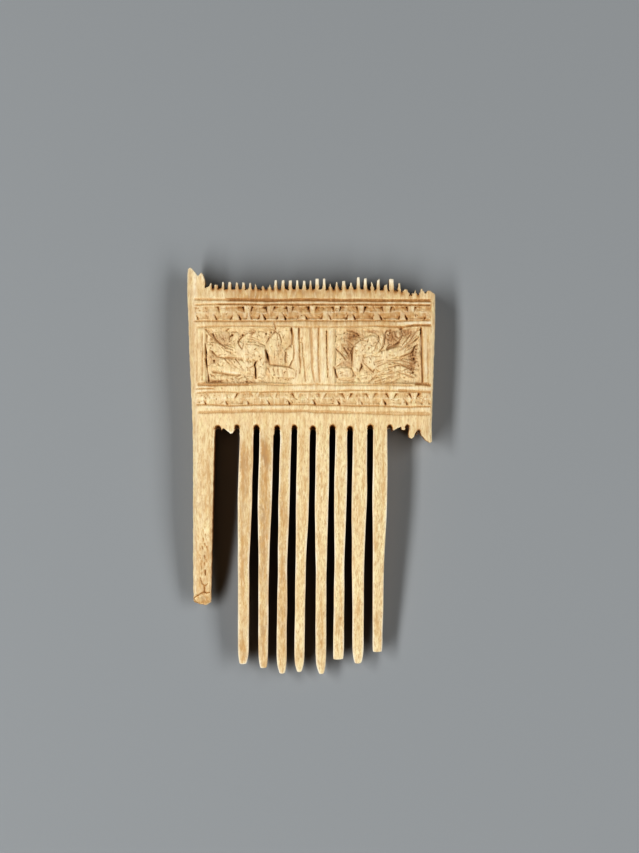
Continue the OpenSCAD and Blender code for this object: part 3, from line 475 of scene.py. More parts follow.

# Brown stains, darker bands along the bevels and one painted shade: x, y, half width, half height,
# strength
STAINS_AND_SHADE = [
    # grooves and borders
    (-17, 38, 6, 1.2, 0.7), (-4, 37.6, 14, 0.8, 0.35), (-14, 33.2, 12, 2.4, 0.65),
    (6, 33.4, 14, 2, 0.55), (24, 33.2, 10, 2.4, 0.55), (0, 39.4, 34, 1.4, 0.7), (0, 30.3, 36, 0.8, 0.6),
    (8, 36.7, 26, 0.5, 0.35), (-19.5, 37.3, 5, 0.6, 1), (-30, 12.6, 4, 0.8, 0.5),
    (-18, 12.4, 5, 0.6, 0.4), (28, 12.4, 8, 0.8, 0.4),
    # panel
    (-26.3, 26, 2.4, 2, 0.6), (12.6, 26.6, 2.8, 1.8, 1), (24.2, 26, 2.6, 2.6, 1),
    (29.2, 27.6, 3, 1.4, 0.8), (18.6, 27.9, 2.2, 0.6, 0.9), (31, 21.4, 1.4, 1.6, 0.8),
    (-28, 12.8, 2, 0.6, 0.8), (30.2, 18, 1.8, 3, 1), (11.2, 22.2, 1.4, 2.8, 0.9),
    (10.4, 18.2, 2.2, 1, 0.7), (-29.6, 19.6, 2, 1.8, 0.35), (-11, 27.8, 0.9, 0.6, 0.7),
    (-13.3, 18.8, 0.9, 0.9, 0.5), (-19.7, 12.7, 2.6, 0.4, 0.8),
    # long edges: darker along both bevels, then brown near the broken roots on the right
    (-35, 20, 0.6, 18, 0.3), (-36.6, 20, 0.6, 26, 0.5), (35.3, 20, 1.2, 10, 0.35),
    (33.6, -2.5, 2, 2, 0.4), (30, -2, 1.5, 2, 0.35),
    # guard tooth; the last row is painted shade along its right bevel
    (-33, -25, 2.5, 30, 0.2), (-32.8, -53.8, 2.8, 1.4, 0.9), (-32.6, -49.5, 2.6, 2.5, 0.4),
    (-32.4, -42, 1.3, 7, 0.4), (-30.4, -28, 0.5, 24, 0.5),
    # coarse teeth, left to right
    (-20.4, -30, 2, 36, 0.6), (-19.8, -10, 1.8, 4, 0.4), (-20.6, -68, 1.2, 5, 0.6),
    (-14.3, -42, 2, 36, 0.7), (-13.4, -9, 2, 5, 0.95), (-13.9, -23, 1.8, 8, 0.5),
    (-14.6, -64, 1.2, 4, 0.4), (-8.6, -38, 1.6, 36, 0.65), (-8, -8, 1, 4, 0.35), (-8.9, -60, 1, 5, 0.3),
    (-3.5, -70, 1, 4, 0.35), (3, -60, 1.6, 20, 0.25), (3, -66, 1, 3, 0.45), (9, -22, 1, 5, 0.35),
    (8.5, -60, 1, 4, 0.3), (14.3, -62, 1.4, 5, 0.25), (20.2, -60, 1, 6, 0.45), (20.4, -44, 1, 6, 0.25),
]

# Worn bevels along the two long edges: distance from the edge, drop of the front
LEFT_BEVEL = [(0, 1.8), (0.4, 1.25), (1, 0.75), (1.5, 0.42), (2.3, 0.2), (3.4, 0.07), (5, 0)]
RIGHT_BEVEL = [(0, 1.1), (0.15, 0.75), (0.4, 0.5), (1.4, 0.12), (2.2, 0.03), (3, 0)]
# Radius of all edges, sharper at the fine teeth than at the coarse tips: y, radius
EDGE_RADIUS = [(-75, 0.32), (-66, 0.32), (-41, 0.26), (-23, 0.22), (-1, 0.2), (39, 0.22), (42, 0.2)]

# Points of the front's mesh: x from and to, y from and to, spacing across and along
MESH_ZONES = [
    # carving
    (-35.4, 36.4, 35.5, 38, 0.55, 0.14), (-35.6, 36.4, 31.4, 35.5, 0.175, 0.175),
    (-35.4, 36.4, 29.1, 31.4, 0.55, 0.14), (-32.4, -5.2, 12, 29.1, 0.175, 0.17),
    (6.4, 33.8, 12, 29.1, 0.175, 0.17), (-5.2, 6.4, 12.3, 29.1, 0.16, 0.65),
    (-35.4, -32.4, 12.3, 29.1, 0.16, 0.6), (33.8, 36.6, 12.3, 29.1, 0.3, 0.6),
    (-35.4, 36.4, 9.3, 12, 0.55, 0.14), (-35.6, 36.4, 6, 9.3, 0.185, 0.185),
    (-35.4, 36.4, 2.3, 6, 0.6, 0.18),
    # body and long edges
    (-37.6, 37.6, 38, 42, 0.28, 0.28), (-37.4, 37.4, -3.2, 2.3, 0.32, 0.32),
    (-37.6, -35, -52, 45, 0.35, 0.7), (36, 37.6, 2, 40, 0.35, 0.7),
    # guard tooth, coarse teeth, broken corner, broken roots, fine teeth
    (-36, -29, -46, -3, 0.5, 0.7), (-36, -29.5, -55, -46, 0.22, 0.22),
    (-33.2, -31.4, -46, -22, 0.2, 0.22), (-22.8, 23.6, -76, -3, 0.5, 0.9),
    (-37.4, -31, 42, 47.5, 0.3, 0.3), (23.6, 37, -6, -3, 0.28, 0.28),
    (-29.5, -22.8, -6, -3, 0.28, 0.28), (-31, 34, 42, 44.5, 0.3, 0.3),
]
# The back's mesh in the same form: all over, then closer at the ends of the saw cuts
BACK_ZONE = (-37.6, 37.6, -76, 47.6, 1.4, 1.8)
BACK_CUT_ZONE = (-37.4, 37.4, -3.2, 1.2, 0.5, 0.5)

# Noises of the wood: scale, how far drawn out along the comb, detail, roughness
NOISES = {
    "broad": (70, 1.6, 3, 0.55), "mottle": (260, 2.5, 4, 0.6), "patches": (620, 2.4, 3, 0.6),
    "streak": (700, 12, 4, 0.6), "grain": (1250, 5, 3, 0.65), "fine": (2700, 5, 3, 0.7),
    "pores": (1900, 5, 2, 0.7),
}
# Bare wood where it is darker and lighter, and the browner coarse teeth with the strength of that
WOOD_DARKER, WOOD_LIGHTER = (0.87, 0.69, 0.405), (0.92, 0.77, 0.485)
TEETH_BROWN, TEETH_STRENGTH = (0.80, 0.645, 0.37), 0.45
# Stains and the painted shade among them, on the bare wood and in the sunk fields, and their strength
STAIN_AND_SHADE_REDDER, STAIN_AND_SHADE_GREYER = (0.57, 0.315, 0.105), (0.48, 0.30, 0.155)
STAIN_FIELDS, STAIN_AND_SHADE_STRENGTH = (0.53, 0.32, 0.165), 0.85
# Cuts on the bare wood, in the sunk fields and where they are deepest
CUT_COLOUR, CUT_FIELDS, CUT_DEEPEST = (0.49, 0.245, 0.075), (0.46, 0.26, 0.115), (0.17, 0.08, 0.03)
# Worn wood with its painted highlight, its strength, and the brightest of it
WORN_AND_HIGHLIGHT_COLOUR, WORN_AND_HIGHLIGHT_STRENGTH, WORN_AND_HIGHLIGHT_BRIGHTEST = (0.955, 0.875, 0.69), 0.8, (1.0, 0.94, 0.77)
# Tones laid over one another: noise, its values where the tone begins and where it is full, strength
# and colour of the tone, and whether it lies on the coarse teeth only
BASE_TONES = [
    ("mottle", 0.5, 0.7, 0.5, (0.79, 0.56, 0.275), False),
    ("patches", 0.52, 0.7, 0.6, (0.81, 0.575, 0.33), False),
    ("patches", 0.46, 0.3, 0.6, (0.89, 0.80, 0.46), False),
]
GRAIN_TONES = [
    ("mottle", 0.5, 0.62, 0.3, (0.84, 0.62, 0.36), True),
    ("mottle", 0.46, 0.34, 0.3, (0.88, 0.785, 0.45), True),
    ("streak", 0.5, 0.7, 0.65, (0.72, 0.485, 0.235), False),
    ("streak", 0.52, 0.66, 0.55, (0.71, 0.46, 0.21), True),
    ("streak", 0.47, 0.36, 0.32, (0.97, 0.85, 0.51), True),
    ("grain", 0.52, 0.7, 0.7, (0.68, 0.465, 0.235), False),
    ("grain", 0.46, 0.3, 0.7, (0.97, 0.865, 0.60), False),
    ("fine", 0.46, 0.34, 0.4, (1.0, 0.91, 0.60), True),
    ("fine", 0.52, 0.64, 0.5, (0.62, 0.40, 0.18), True),
    ("fine", 0.5, 0.66, 0.7, (0.64, 0.42, 0.21), False),
    ("pores", 0.64, 0.75, 0.6, (0.50, 0.32, 0.17), False),
]
# The same for the stained wood and its painted shade, all of it within the stains and the shade
STAIN_AND_SHADE_TONES = [
    ("streak", 0.5, 0.62, 0.6, (0.60, 0.35, 0.14), True),
    ("grain", 0.5, 0.66, 0.5, (0.56, 0.34, 0.15), True),
    ("grain", 0.48, 0.34, 0.6, (0.95, 0.80, 0.52), True),
]

# Level floor just under the comb, in metres, and the faint light from all round
FLOOR_SIZE = 4
FLOOR_Z = -0.00002
FLOOR_COLOUR = (0.33, 0.345, 0.355, 1)
SKY_STRENGTH = 0.004
# Area lights: name, place and size across and along the comb in metres, power in watts
LIGHTS = [
    ("light_left", (-0.85, -0.35, 0.85), 0.24, 2, 14.4),
    ("light_right", (0.95, -0.35, 0.7), 0.4, 2, 10.2),
]
# Camera straight above the comb, in millimetres: place, height of the sensor, focal length
CAMERA_X, CAMERA_Y, CAMERA_Z = 2.5, 13.5, 450
SENSOR_HEIGHT = 36
LENS = 61.9


# Small helpers

def waves(x, y, length, seed, stretch=1.0, count=22):
    """Smooth seeded noise of about unit size: plane waves about length mm long, drawn out along y."""
    rng = np.random.default_rng(seed)
    total = np.zeros_like(x)
    for _ in range(count):
        turn = rng.uniform(0, 2 * pi)
        k = 2 * pi / (length * rng.uniform(0.55, 1.6))
        total += np.sin(k * (x * cos(turn) + y * sin(turn) / stretch) + rng.uniform(0, 2 * pi))
    return total / (count / 2) ** 0.5


def step(a, b, v):
    """Smooth rise from 0 where v is a to 1 where it is b."""
    t = np.clip((v - a) / (b - a), 0, 1)
    return t * t * (3 - 2 * t)


def between(a, b, c, d, v):
    """Smooth rise from 0 to 1 as v goes from a to b, and fall back to 0 from c to d."""
    return step(a, b, v) * (1 - step(c, d, v))


def facets(x, y, size, seed, stretch=1.0):
    """Flat-sided relief of about unit height, as a knife leaves it: random heights on a bent lattice
    of triangles about size mm wide, joined by flat faces."""
    columns, rows = 61, 67
    heights = np.random.default_rng(seed).uniform(-1, 1, (columns, rows))
    a = x / size + 0.5 * waves(x, y, size * 4, seed + 1, stretch)
    b = y / (size * stretch) + 0.5 * waves(x, y, size * 4, seed + 2, stretch)
    i, j = np.floor(a).astype(int), np.floor(b).astype(int)
    fa, fb = a - i, b - j

    def at(di, dj):
        return heights[(i + di) % columns, (j + dj) % rows]
    first = at(0, 0) + fa * (at(1, 0) - at(0, 0)) + fb * (at(0, 1) - at(0, 0))
    second = at(1, 1) + (1 - fa) * (at(0, 1) - at(1, 1)) + (1 - fb) * (at(1, 0) - at(1, 1))
    return np.where(fa + fb > 1, second, first)


def line_at(v, points):
    """Second value of the points at each v, with v running along their first value."""
    return np.interp(v, [q[0] for q in points], [q[1] for q in points])


def spread(points, gap, wobble=0.0, seed=0):
    """The same line with points at most gap apart, moved a little to and fro as a hand cut is."""
    out = []
    for a, b in zip(points, points[1:]):
        n = max(1, int(np.ceil(np.hypot(b[0] - a[0], b[1] - a[1]) / gap)))
        out += [(a[0] + (b[0] - a[0]) * i / n, a[1] + (b[1] - a[1]) * i / n) for i in range(n)]
    out.append(tuple(points[-1]))
    out = np.array(out, float)
    if wobble:
        w = waves(out[:, 0], out[:, 1], 2.6, seed)
        out[:, 0] += w * wobble
        out[:, 1] += waves(out[:, 0], out[:, 1], 1.9, seed + 1) * wobble
    return out


def smooth(points, rounds=1):
    """Corners cut off, with both ends kept."""
    p = np.array(points, float)
    for _ in range(rounds):
        q = [p[0]]
        for a, b in zip(p, p[1:]):
            q += [a * 0.75 + b * 0.25, a * 0.25 + b * 0.75]
        q.append(p[-1])
        p = np.array(q)
    return p


# Outline

def tooth_sides(t):
    """x of the left and the right side of a coarse tooth, as functions of y."""
    root_y = 10
    ys = [-root_y] + [-v for v in STATION_Y]
    middles = [t[0]] + [t[2 * i] for i in range(4)]
    halves = [t[1] / 2] + [t[2 * i + 1] / 2 for i in range(4)]

    def side(way, y):
        xs = [m + way * h for m, h in zip(middles, halves)]
        return sum(np.interp(-(y + d), ys, xs) for d in (-4, -2, 0, 2, 4)) / 5
    return (lambda y: side(-1, y)), (lambda y: side(1, y))


def tooth_outline(t, top_left, top_right, seed):
    """Down the left side from top_left, round the tip and up the right side to top_right."""
    left, right = tooth_sides(t)
    tip_x, tip_w, tip_y, soft = t[8:12]
    neck_y, shoulder_y, root_y = tip_y + 3.5, tip_y + soft + 0.3, -3.4
    down = np.arange(-4, STATION_Y[3] + 1, -1.0)
    lw = waves(down * 0 + t[0], down, 16, seed) * 0.03
    rw = waves(down * 0 + t[0], down, 16, seed + 1) * 0.03
    left_side = [(left(y) + w, y) for y, w in zip(down, lw)]
    right_side = [(right(y) + w, y) for y, w in zip(down, rw)]
    tip = smooth([
        left_side[-1], (left(neck_y), neck_y), (tip_x - tip_w / 2 - 0.15, shoulder_y),
        (tip_x - tip_w / 2 + soft / 2, tip_y), (tip_x + tip_w / 2 - soft / 2, tip_y + 0.1),
        (tip_x + tip_w / 2 + 0.1, shoulder_y), (right(neck_y), neck_y), right_side[-1],
    ], 3)
    start = [(top_left, RIDGE_Y - 1.3), (left(root_y), root_y)]
    end = [(right(root_y), root_y), (top_right, RIDGE_Y - 1.3)]
    return np.vstack([spread(start + left_side, 1.0)[:-1], tip, spread(right_side[::-1] + end, 1.0)[1:]])


def cut_arc(c):
    """Round end of a saw cut at its ridge, from left to right."""
    cx, r = (c[0] + c[1]) / 2, (c[1] - c[0]) / 2
    top = RIDGE_Y + c[2]
    return np.array([(cx - r * cos(a), top - r + r * sin(a)) for a in np.linspace(0, pi, 11)])


def fine_row():
    """Broken fine teeth and the ends of the cuts between them, from left to right."""
    pts = []
    for i, (x, root, top, yl, yr, cut) in enumerate(FINE_TEETH):
        before = 41 if i == 0 else FINE_TEETH[i - 1][5]
        lean = (yr - yl) * 0.15
        half, wide = top / 2, (root * 0.15 + top * 0.85) / 2
        low, high = before + FINE_CUT_LIFT, cut + FINE_CUT_LIFT
        pts += [
            (x - root / 2 - 0.12, low), (x - root / 2 + 0.02, low + 0.2),
            (x - wide, low * 0.65 + yl * 0.35), (x - half + lean, yl - 0.2), (x - half + 0.1 + lean, yl),
            (x + half - 0.1 + lean, yr), (x + half + lean, yr - 0.2),
            (x + wide, high * 0.65 + yr * 0.35), (x + root / 2 - 0.02, high + 0.2),
            (x + root / 2 + 0.12, high),
        ]
    return pts


def comb_outline():
    """Front view of the comb, once round, with the wood on the left."""
    guard_left = LEFT_EDGE[0][1]
    loop = [spread([(guard_left, -48), (guard_left, -50.5)] + GUARD_END, 0.3, 0.05, 3),
            spread(GUARD_RIGHT, 0.8, 0.04, 5), cut_arc(SAW_CUTS[0]),
            spread(LEFT_ROOT, 0.25, 0.05, 7), cut_arc(SAW_CUTS[1])]
    for i, t in enumerate(COARSE_TEETH):
        loop.append(tooth_outline(t, SAW_CUTS[i + 1][1], SAW_CUTS[i + 2][0], 20 + 2 * i))
        loop.append(cut_arc(SAW_CUTS[i + 2]))
    loop += [spread(RIGHT_ROOTS, 0.25, 0.05, 9), cut_arc(SAW_CUTS[10]),
             spread(RIGHT_STUB, 0.25, 0.05, 11), cut_arc(SAW_CUTS[11]),
             spread(RIGHT_SPUR, 0.25, 0.04, 13),
             spread([(x, y) for y, x in RIGHT_EDGE], 0.6, 0.03, 15),
             spread(smooth(RIGHT_CORNER), 0.3, 0.03, 17),
             smooth(fine_row()[::-1]),
             spread(HORN, 0.25, 0.03, 19),
             spread([(x, y) for y, x in LEFT_EDGE[:0:-1]] + [(guard_left, -47)], 0.6, 0.03, 21)]
    p = np.vstack(loop)
    nearest = 0.07
    keep = [0]
    for i in range(1, len(p)):
        if np.hypot(*(p[i] - p[keep[-1]])) > nearest:
            keep.append(i)
    if np.hypot(*(p[keep[-1]] - p[0])) < nearest:
        keep.pop()
    p = p[keep]
    p[:, 0] = p[:, 0].clip(-HALF_W + WITHIN, HALF_W - WITHIN)
    p[:, 1] = p[:, 1].clip(LOWEST_Y + WITHIN, HIGHEST_Y - WITHIN)
    return p


OUTLINE = comb_outline()
NEXT = np.roll(OUTLINE, -1, axis=0)


def outline_tree():
    """Search tree of points close together along the outline, and the number of each one's side."""
    dense, owner = [], []
    for i, (a, b) in enumerate(zip(OUTLINE, NEXT)):
        n = max(1, int(np.hypot(*(b - a)) / 0.12))
        dense += [a + (b - a) * k / n for k in range(n)]
        owner += [i] * n
    tree = kdtree.KDTree(len(dense))
    for i, (x, y) in enumerate(dense):
        tree.insert((x, y, 0), i)
    tree.balance()
    return tree, np.array(owner)


OUTLINE_TREE, OWNER = outline_tree()


def edge_distance(p):
    """Distance from each point to the outline."""
    near = OWNER[[OUTLINE_TREE.find((x, y, 0))[1] for x, y in p.tolist()]]
    best = np.full(len(p), 1e9)
    for shift in (-1, 0, 1):
        i = (near + shift) % len(OUTLINE)
        a, b = OUTLINE[i], NEXT[i]
        ab = b - a
        t = (((p - a) * ab).sum(1) / np.maximum((ab ** 2).sum(1), 1e-9)).clip(0, 1)
        best = np.minimum(best, np.hypot(*(p - a - ab * t[:, None]).T))
    return best


def inside(p):
    """Which points lie within the outline."""
    hit = np.zeros(len(p), bool)
    x, y = p[:, 0], p[:, 1]
    for (ax, ay), (bx, by) in zip(OUTLINE, NEXT):
        if ay == by:
            continue
        band = (ay > y) != (by > y)
        hit[band] ^= x[band] < (bx - ax) * (y[band] - ay) / (by - ay) + ax
    return hit


# Plain form of the two faces

SIDE_Y, SIDE_BACK, SIDE_FRONT = (np.array(c, float) for c in zip(*SIDE_VIEW))


def crown(y, heights):
    """Side view with its kinks smoothed out over a few millimetres."""
    return sum(np.interp(y + d, SIDE_Y, heights) for d in (-3, -1.5, 0, 1.5, 3)) / 5


def fall(x):
    """How far the front drops and the back rises beyond the level middle."""
    return np.maximum(0, np.sqrt((np.abs(x) - FLAT_HALF_W).clip(0) ** 2 + 4) - 2) * tan(SIDE_SLOPE)


def bevel(p):
    """Drop of the worn long edges, by the distance from them, half as deep down the guard tooth."""
    x, y = p[:, 0], p[:, 1]
    left_drop = line_at((x - line_at(y, LEFT_EDGE)).clip(0), LEFT_BEVEL)
    right_drop = line_at((line_at(y, RIGHT_EDGE) - x).clip(0), RIGHT_BEVEL)
    left_drop *= 1 - 0.5 * step(-30, -52, y)
    return np.where(x < 0, left_drop, np.where(y > -8, right_drop, 0))


def rounding(p, dist):
    """How far an edge is worn round, by the distance from the outline."""
    r = line_at(p[:, 1], EDGE_RADIUS)
    return r * (1 - dist / r).clip(0) ** 2


def fine_cuts():
    """Saw cuts between the fine teeth, and the one after the last: x of both sides, y of the end."""
    starts = [t[0] + t[1] / 2 for t in FINE_TEETH]
    ends = [t[0] - t[1] / 2 for t in FINE_TEETH[1:]] + [starts[-1] + 0.74]
    return [(a, b, t[5] + FINE_CUT_LIFT) for a, b, t in zip(starts, ends, FINE_TEETH)]


def cut_slopes(p, face):
    """Sloping ends of the saw cuts: the highest the front may be there (face 1), or the lowest the
    back may be (face -1)."""
    x, y = p[:, 0], p[:, 1]
    ridge = 0.15
    limit = np.full(len(p), 99.0)
    for a, b, up in SAW_CUTS:
        r = (b - a) / 2
        top = RIDGE_Y + up
        u = (x - (a + b) / 2) / r
        on = (np.abs(u) < 1) & (y < top + 3) & (y > top - r - 0.2)
        arc = top - r + r * np.sqrt((1 - u[on] ** 2).clip(0))
        limit[on] = np.minimum(limit[on], ridge + (y[on] - arc).clip(0) / tan(COARSE_CUT_SLOPE))
    for a, b, end in fine_cuts():
        r = max((b - a) / 2 - 0.02, 0.2)
        u = (x - (a + b) / 2) / r
        on = (np.abs(u) < 1.05) & (y > end - 2) & (y < end + 0.3)
        arc = end + 0.05 - 0.35 * (1 - np.sqrt(1 - u[on].clip(-1, 1) ** 2))
        limit[on] = np.minimum(limit[on], ridge + (arc - y[on]).clip(0) / tan(FINE_CUT_SLOPE))
    return MIDDLE_Z + face * limit


# Carving of the front

def line_cut(p, w0, d0, w1, d1, pts):
    """Depth of one V-shaped knife cut at each point."""
    a = np.array(pts, float)
    seg = np.hypot(*(a[1:] - a[:-1]).T)
    along = np.concatenate([[0], np.cumsum(seg)]) / seg.sum()
    reach = max(w0, w1)
    box = ((p > a.min(0) - reach) & (p < a.max(0) + reach)).all(1)
    depth = np.zeros(len(p))
    q = p[box]
    best = np.zeros(len(q))
    for i in range(len(seg)):
        ab = a[i + 1] - a[i]
        t = (((q - a[i]) * ab).sum(1) / (ab ** 2).sum()).clip(0, 1)
        dist = np.hypot(*(q - a[i] - ab * t[:, None]).T)
        s = along[i] + (along[i + 1] - along[i]) * t
        width, deep = w0 + (w1 - w0) * s, d0 + (d1 - d0) * s
        best = np.maximum(best, deep * (1 - dist / (width * 0.62)).clip(0) ** 0.85)
    depth[box] = best
    return depth


def border_height(p, border, seed):
    """Zigzag border: two rows of chips between wedge posts, meeting in a ridge, deepest at the posts and
    just inside the border's edges. Returns the height, the darkness, and the paler worn wood with
    painted highlight on the posts and along the crest of the ridge."""
    x, y = p[:, 0], p[:, 1]
    (y0, y1), tops, top_lean, lows, low_lean, depth, brown = border[:7]
    first, last = CARVED_X
    v = (y - y0) / (y1 - y0)
    band = between(first, first + 0.5, last - 0.2, last + 0.1, x) * between(-0.03, 0.03, 0.97, 1.03, v)
    strength = depth * (0.6 + 0.4 * step(-28, -21, x)) * (1 + 0.12 * waves(x, y * 0, 6, seed))
    ridge = 0.54 + 0.05 * waves(x, y * 0, 5, seed + 1)
    z = -0.04 * band
    dark = 0.12 * band * strength / depth
    # paler worn wood with painted highlight over the border, taken out again in the chips
    light = band * (0.12 + 0.2 * waves(x, y, 2, seed + 4))
    upper, lower = (v - ridge) / (1 - ridge), (ridge - v) / ridge
    for posts, t, lean in ((tops, upper, top_lean), (lows, lower, low_lean)):
        t = t.clip(0, 1)
        lip = 1 - step(0.84, 1, t)
        ends = [(-99, first - 1)] + [q[:2] for q in posts] + [(last + 1, 99)]
        for (_, a), (b, _) in zip(ends, ends[1:]):
            if b - a < 0.4:
                continue
            left, right = a - lean * (1 - t), b + lean * (1 - t)
            u = ((x - (left + right) / 2) / ((right - left) / 2)).clip(-1.2, 1.2)
            wall = step(0, 0.14, x - left) * step(0, 0.14, right - x) * band
            deep = strength * t ** 0.7 * (0.4 + 0.6 * np.abs(u) ** 2.5) * lip
            z = np.minimum(z, -deep * wall - 0.04 * band)
            corners = 0.4 * (0.5 + 0.5 * u).clip(0) ** 4 + 0.2 * (0.5 - 0.5 * u).clip(0) ** 6
            shade = 0.2 + 0.3 * t * lip + corners * t
            dark = np.maximum(dark, shade * wall * np.minimum(strength / depth, 1) * (t > 0))
            light = np.minimum(light, 1 - wall * step(0, 0.12, t))
    # painted highlight along the crest of the ridge, which also takes some of the brown away
    crest = (1 - np.abs(v - ridge) / 0.07).clip(0) * band
    crest *= (0.5 + 0.6 * waves(x, y, 3, seed + 5)).clip(0, 1)
    z += 0.16 * facets(x, y, 1.4, seed + 2) * band * np.minimum(dark * 3, 1)
    dark = (dark * brown * (1 + 0.22 * waves(x, y, 2.2, seed + 3, 0.5))).clip(0, 1)
    return z, dark * (1 - 0.6 * crest), np.maximum(light, crest * 0.6).clip(0, 1)


def in_fields(x, y):
    """1 within the sunk fields, 0 outside them."""
    low, high = PANEL_Y
    across = [between(a - 0.15, a + 0.35, b - 0.35, b + 0.15, x) for a, b in FIELDS_X]
    return np.maximum(*across) * between(low - 0.2, low + 0.4, high - 0.4, high + 0.2, y)


def panel_height(p):
    """Sunk fields with the raised forms of the two birds, level 0 outside them."""
    x, y = p[:, 0], p[:, 1]
    ground = np.full_like(x, -FIELD_DEPTH) + 0.25 * facets(x, y, 1.3, 31)
    rise = np.full_like(x, -9.0)
    for cx, cy, a, b, turn, height in FORMS:
        c, s = cos(radians(turn)), sin(radians(turn))
        u = ((x - cx) * c + (y - cy) * s) / a
        v = (-(x - cx) * s + (y - cy) * c) / b
        r = u ** 4 + v ** 2
        rise = np.maximum(rise, -FIELD_DEPTH + height * ((1 - r) * 3).clip(-0.4, 1.15))
    level = np.logaddexp(ground * 22, rise * 22) / 22
    level = np.minimum(level, -0.02) + 0.13 * facets(x, y, 0.9, 33) - 0.06
    return in_fields(x, y) * level


def post_slits(border):
    """Knife slits beside the posts, and along the upper edge, in the form of the rows of CUTS."""
    (y0, y1), tops, top_lean, lows, low_lean, _, _, reach, depth = border
    length = (y1 - y0) * reach
    rows = []
    for posts, lean, foot, way in ((tops, top_lean + 0.3, y1 - 0.35, -1),
                                   (lows, low_lean + 0.5, y0 + 0.1, 1)):
        flanks = [(q[0], -1, q[2]) for q in posts] + [(q[1], 1, q[3]) for q in posts]
        for x, side, deep in flanks:
            if deep == 0:
                continue
            start, end = x + side * lean / 2, x - side * lean / 2
            rows.append((0.35 + 0.35 * deep, depth * deep, 0.2, depth * deep * 0.3,
                         [(start, foot), (end, foot + way * length)]))
            if posts is tops:
                rows.append((0.5 * deep, depth * deep, 0.1, 0.1,
                             [(start, foot + 0.05), (x + side * (lean / 2 + 0.9), foot + 0.15)]))
    return rows


def hatching():
    """The strokes of HATCHES, in the form of the rows of CUTS."""
    rng = np.random.default_rng(88)
    rows = []
    for count, width, depth, first, last in HATCHES:
        for t in np.linspace(0, 1, count):
            stroke = np.array(first) * (1 - t) + np.array(last) * t + rng.uniform(-0.3, 0.3, (2, 2))
            deep = depth * rng.uniform(0.6, 1.3)
            rows.append((width, deep, width * 0.8, deep * 0.5, stroke))
    return rows


def tool_marks():
    """Small stray knife marks in the sunk fields and the borders, in the form of the rows of CUTS."""
    rng = np.random.default_rng(85)
    zones = [(a, b, *PANEL_Y, 260, 1.3) for a, b in FIELDS_X]
    zones += [(*CARVED_X, *UPPER_BORDER_Y, 110, 1.1), (*CARVED_X, *LOWER_BORDER_Y, 150, 0.9)]
    rows = []
    for a, b, low, high, count, longest in zones:
        for _ in range(count):
            x, y = rng.uniform(a + 0.6, b - 0.6), rng.uniform(low + 0.5, high - 0.5)
            turn, length = rng.uniform(0, pi), rng.uniform(0.3, longest)
            deep = rng.uniform(0.1, 0.56)
            end = (x + length * cos(turn), y + length * sin(turn))
            rows.append((0.24, deep, 0.16, deep * 0.4, [(x, y), end]))
    return rows


def knife_depth(p):
    """Depth of all knife cuts and pits."""
    rows = CUTS + hatching() + tool_marks()
    for x, y, length, deep in SPECKS:
        rows.append((0.45, deep * 1.2, 0.35, deep * 0.8, [(x, y), (x + 0.1, y - length)]))
    for border in BORDERS:
        rows += post_slits(border)
    depth = np.zeros(len(p))
    for w0, d0, w1, d1, points in rows:
        depth = np.maximum(depth, line_cut(p, w0 + CUT_SPREAD, d0, w1 + CUT_SPREAD, d1, points))
    for x, y, r, deep in PITS:
        depth = np.maximum(depth, deep * (1 - np.hypot(p[:, 0] - x, p[:, 1] - y) / r).clip(0) ** 0.7)
    return depth


def cut_grooves(p, z, dark, light):
    """The carving with the grooves cut into it, dark along their floors."""
    x, y = p[:, 0], p[:, 1]
    for i, (width, depth, brown, points) in enumerate(GROOVES):
        start, end = points[0][0], points[-1][0]
        line = line_at(x, points) + 0.05 * waves(x, x * 0, 12, 50 + i)
        half = width * 0.5 * (1 + 0.08 * waves(x, x * 0, 9, 60 + i))
        ends = between(start - 0.2, start + 0.5, end - 0.5, end + 0.2, x)
        off = np.abs(y - line) / half
        shape = (1 - off ** 2).clip(0) ** 0.7 * ends
        z = np.minimum(z, np.maximum(z, -0.1) - depth * shape)
        dark = np.maximum(dark, 0.72 * brown * (1 - step(0.75, 1.1, off)) * ends)
        light = light * (1 - (1 - step(0.8, 1.2, off)) * ends)
    return z, dark, light


def ridge_wear_and_highlight(p):
    """Brightness of the worn ridges and of the painted highlights along them, which run across the comb
    or along it.
    """
    x, y = p[:, 0], p[:, 1]
    wear_and_highlight = np.zeros(len(p))
    for half, strength, points in RIDGES:
        (x0, y0), (x1, y1) = points[0], points[-1]
        if abs(x1 - x0) > abs(y1 - y0):
            off = np.abs(y - line_at(x, points))
            ends = between(x0 - 0.3, x0 + 0.6, x1 - 0.6, x1 + 0.3, x)
        else:
            off = np.abs(x - line_at(-y, [(-b, a) for a, b in points]))
            ends = between(y1 - 1, y1 + 1, y0 - 1, y0 + 1, y)
        wear_and_highlight = np.maximum(wear_and_highlight, strength * (1 - off / (half * 1.5)).clip(0) * ends)
    return wear_and_highlight * (1 + 0.35 * waves(x, y, 2.5, 80))


def stain_and_shade(x, y):
    """Strength of the brown stains and of the painted shade among them, from 0 to 1."""
    total = np.zeros(len(x))
    for cx, cy, a, b, strength in STAINS_AND_SHADE:
        r = ((x - cx) / a) ** 2 + ((y - cy) / b) ** 2
        total += strength * np.exp(-r * 1.2)
    return np.clip(total, 0, 1)


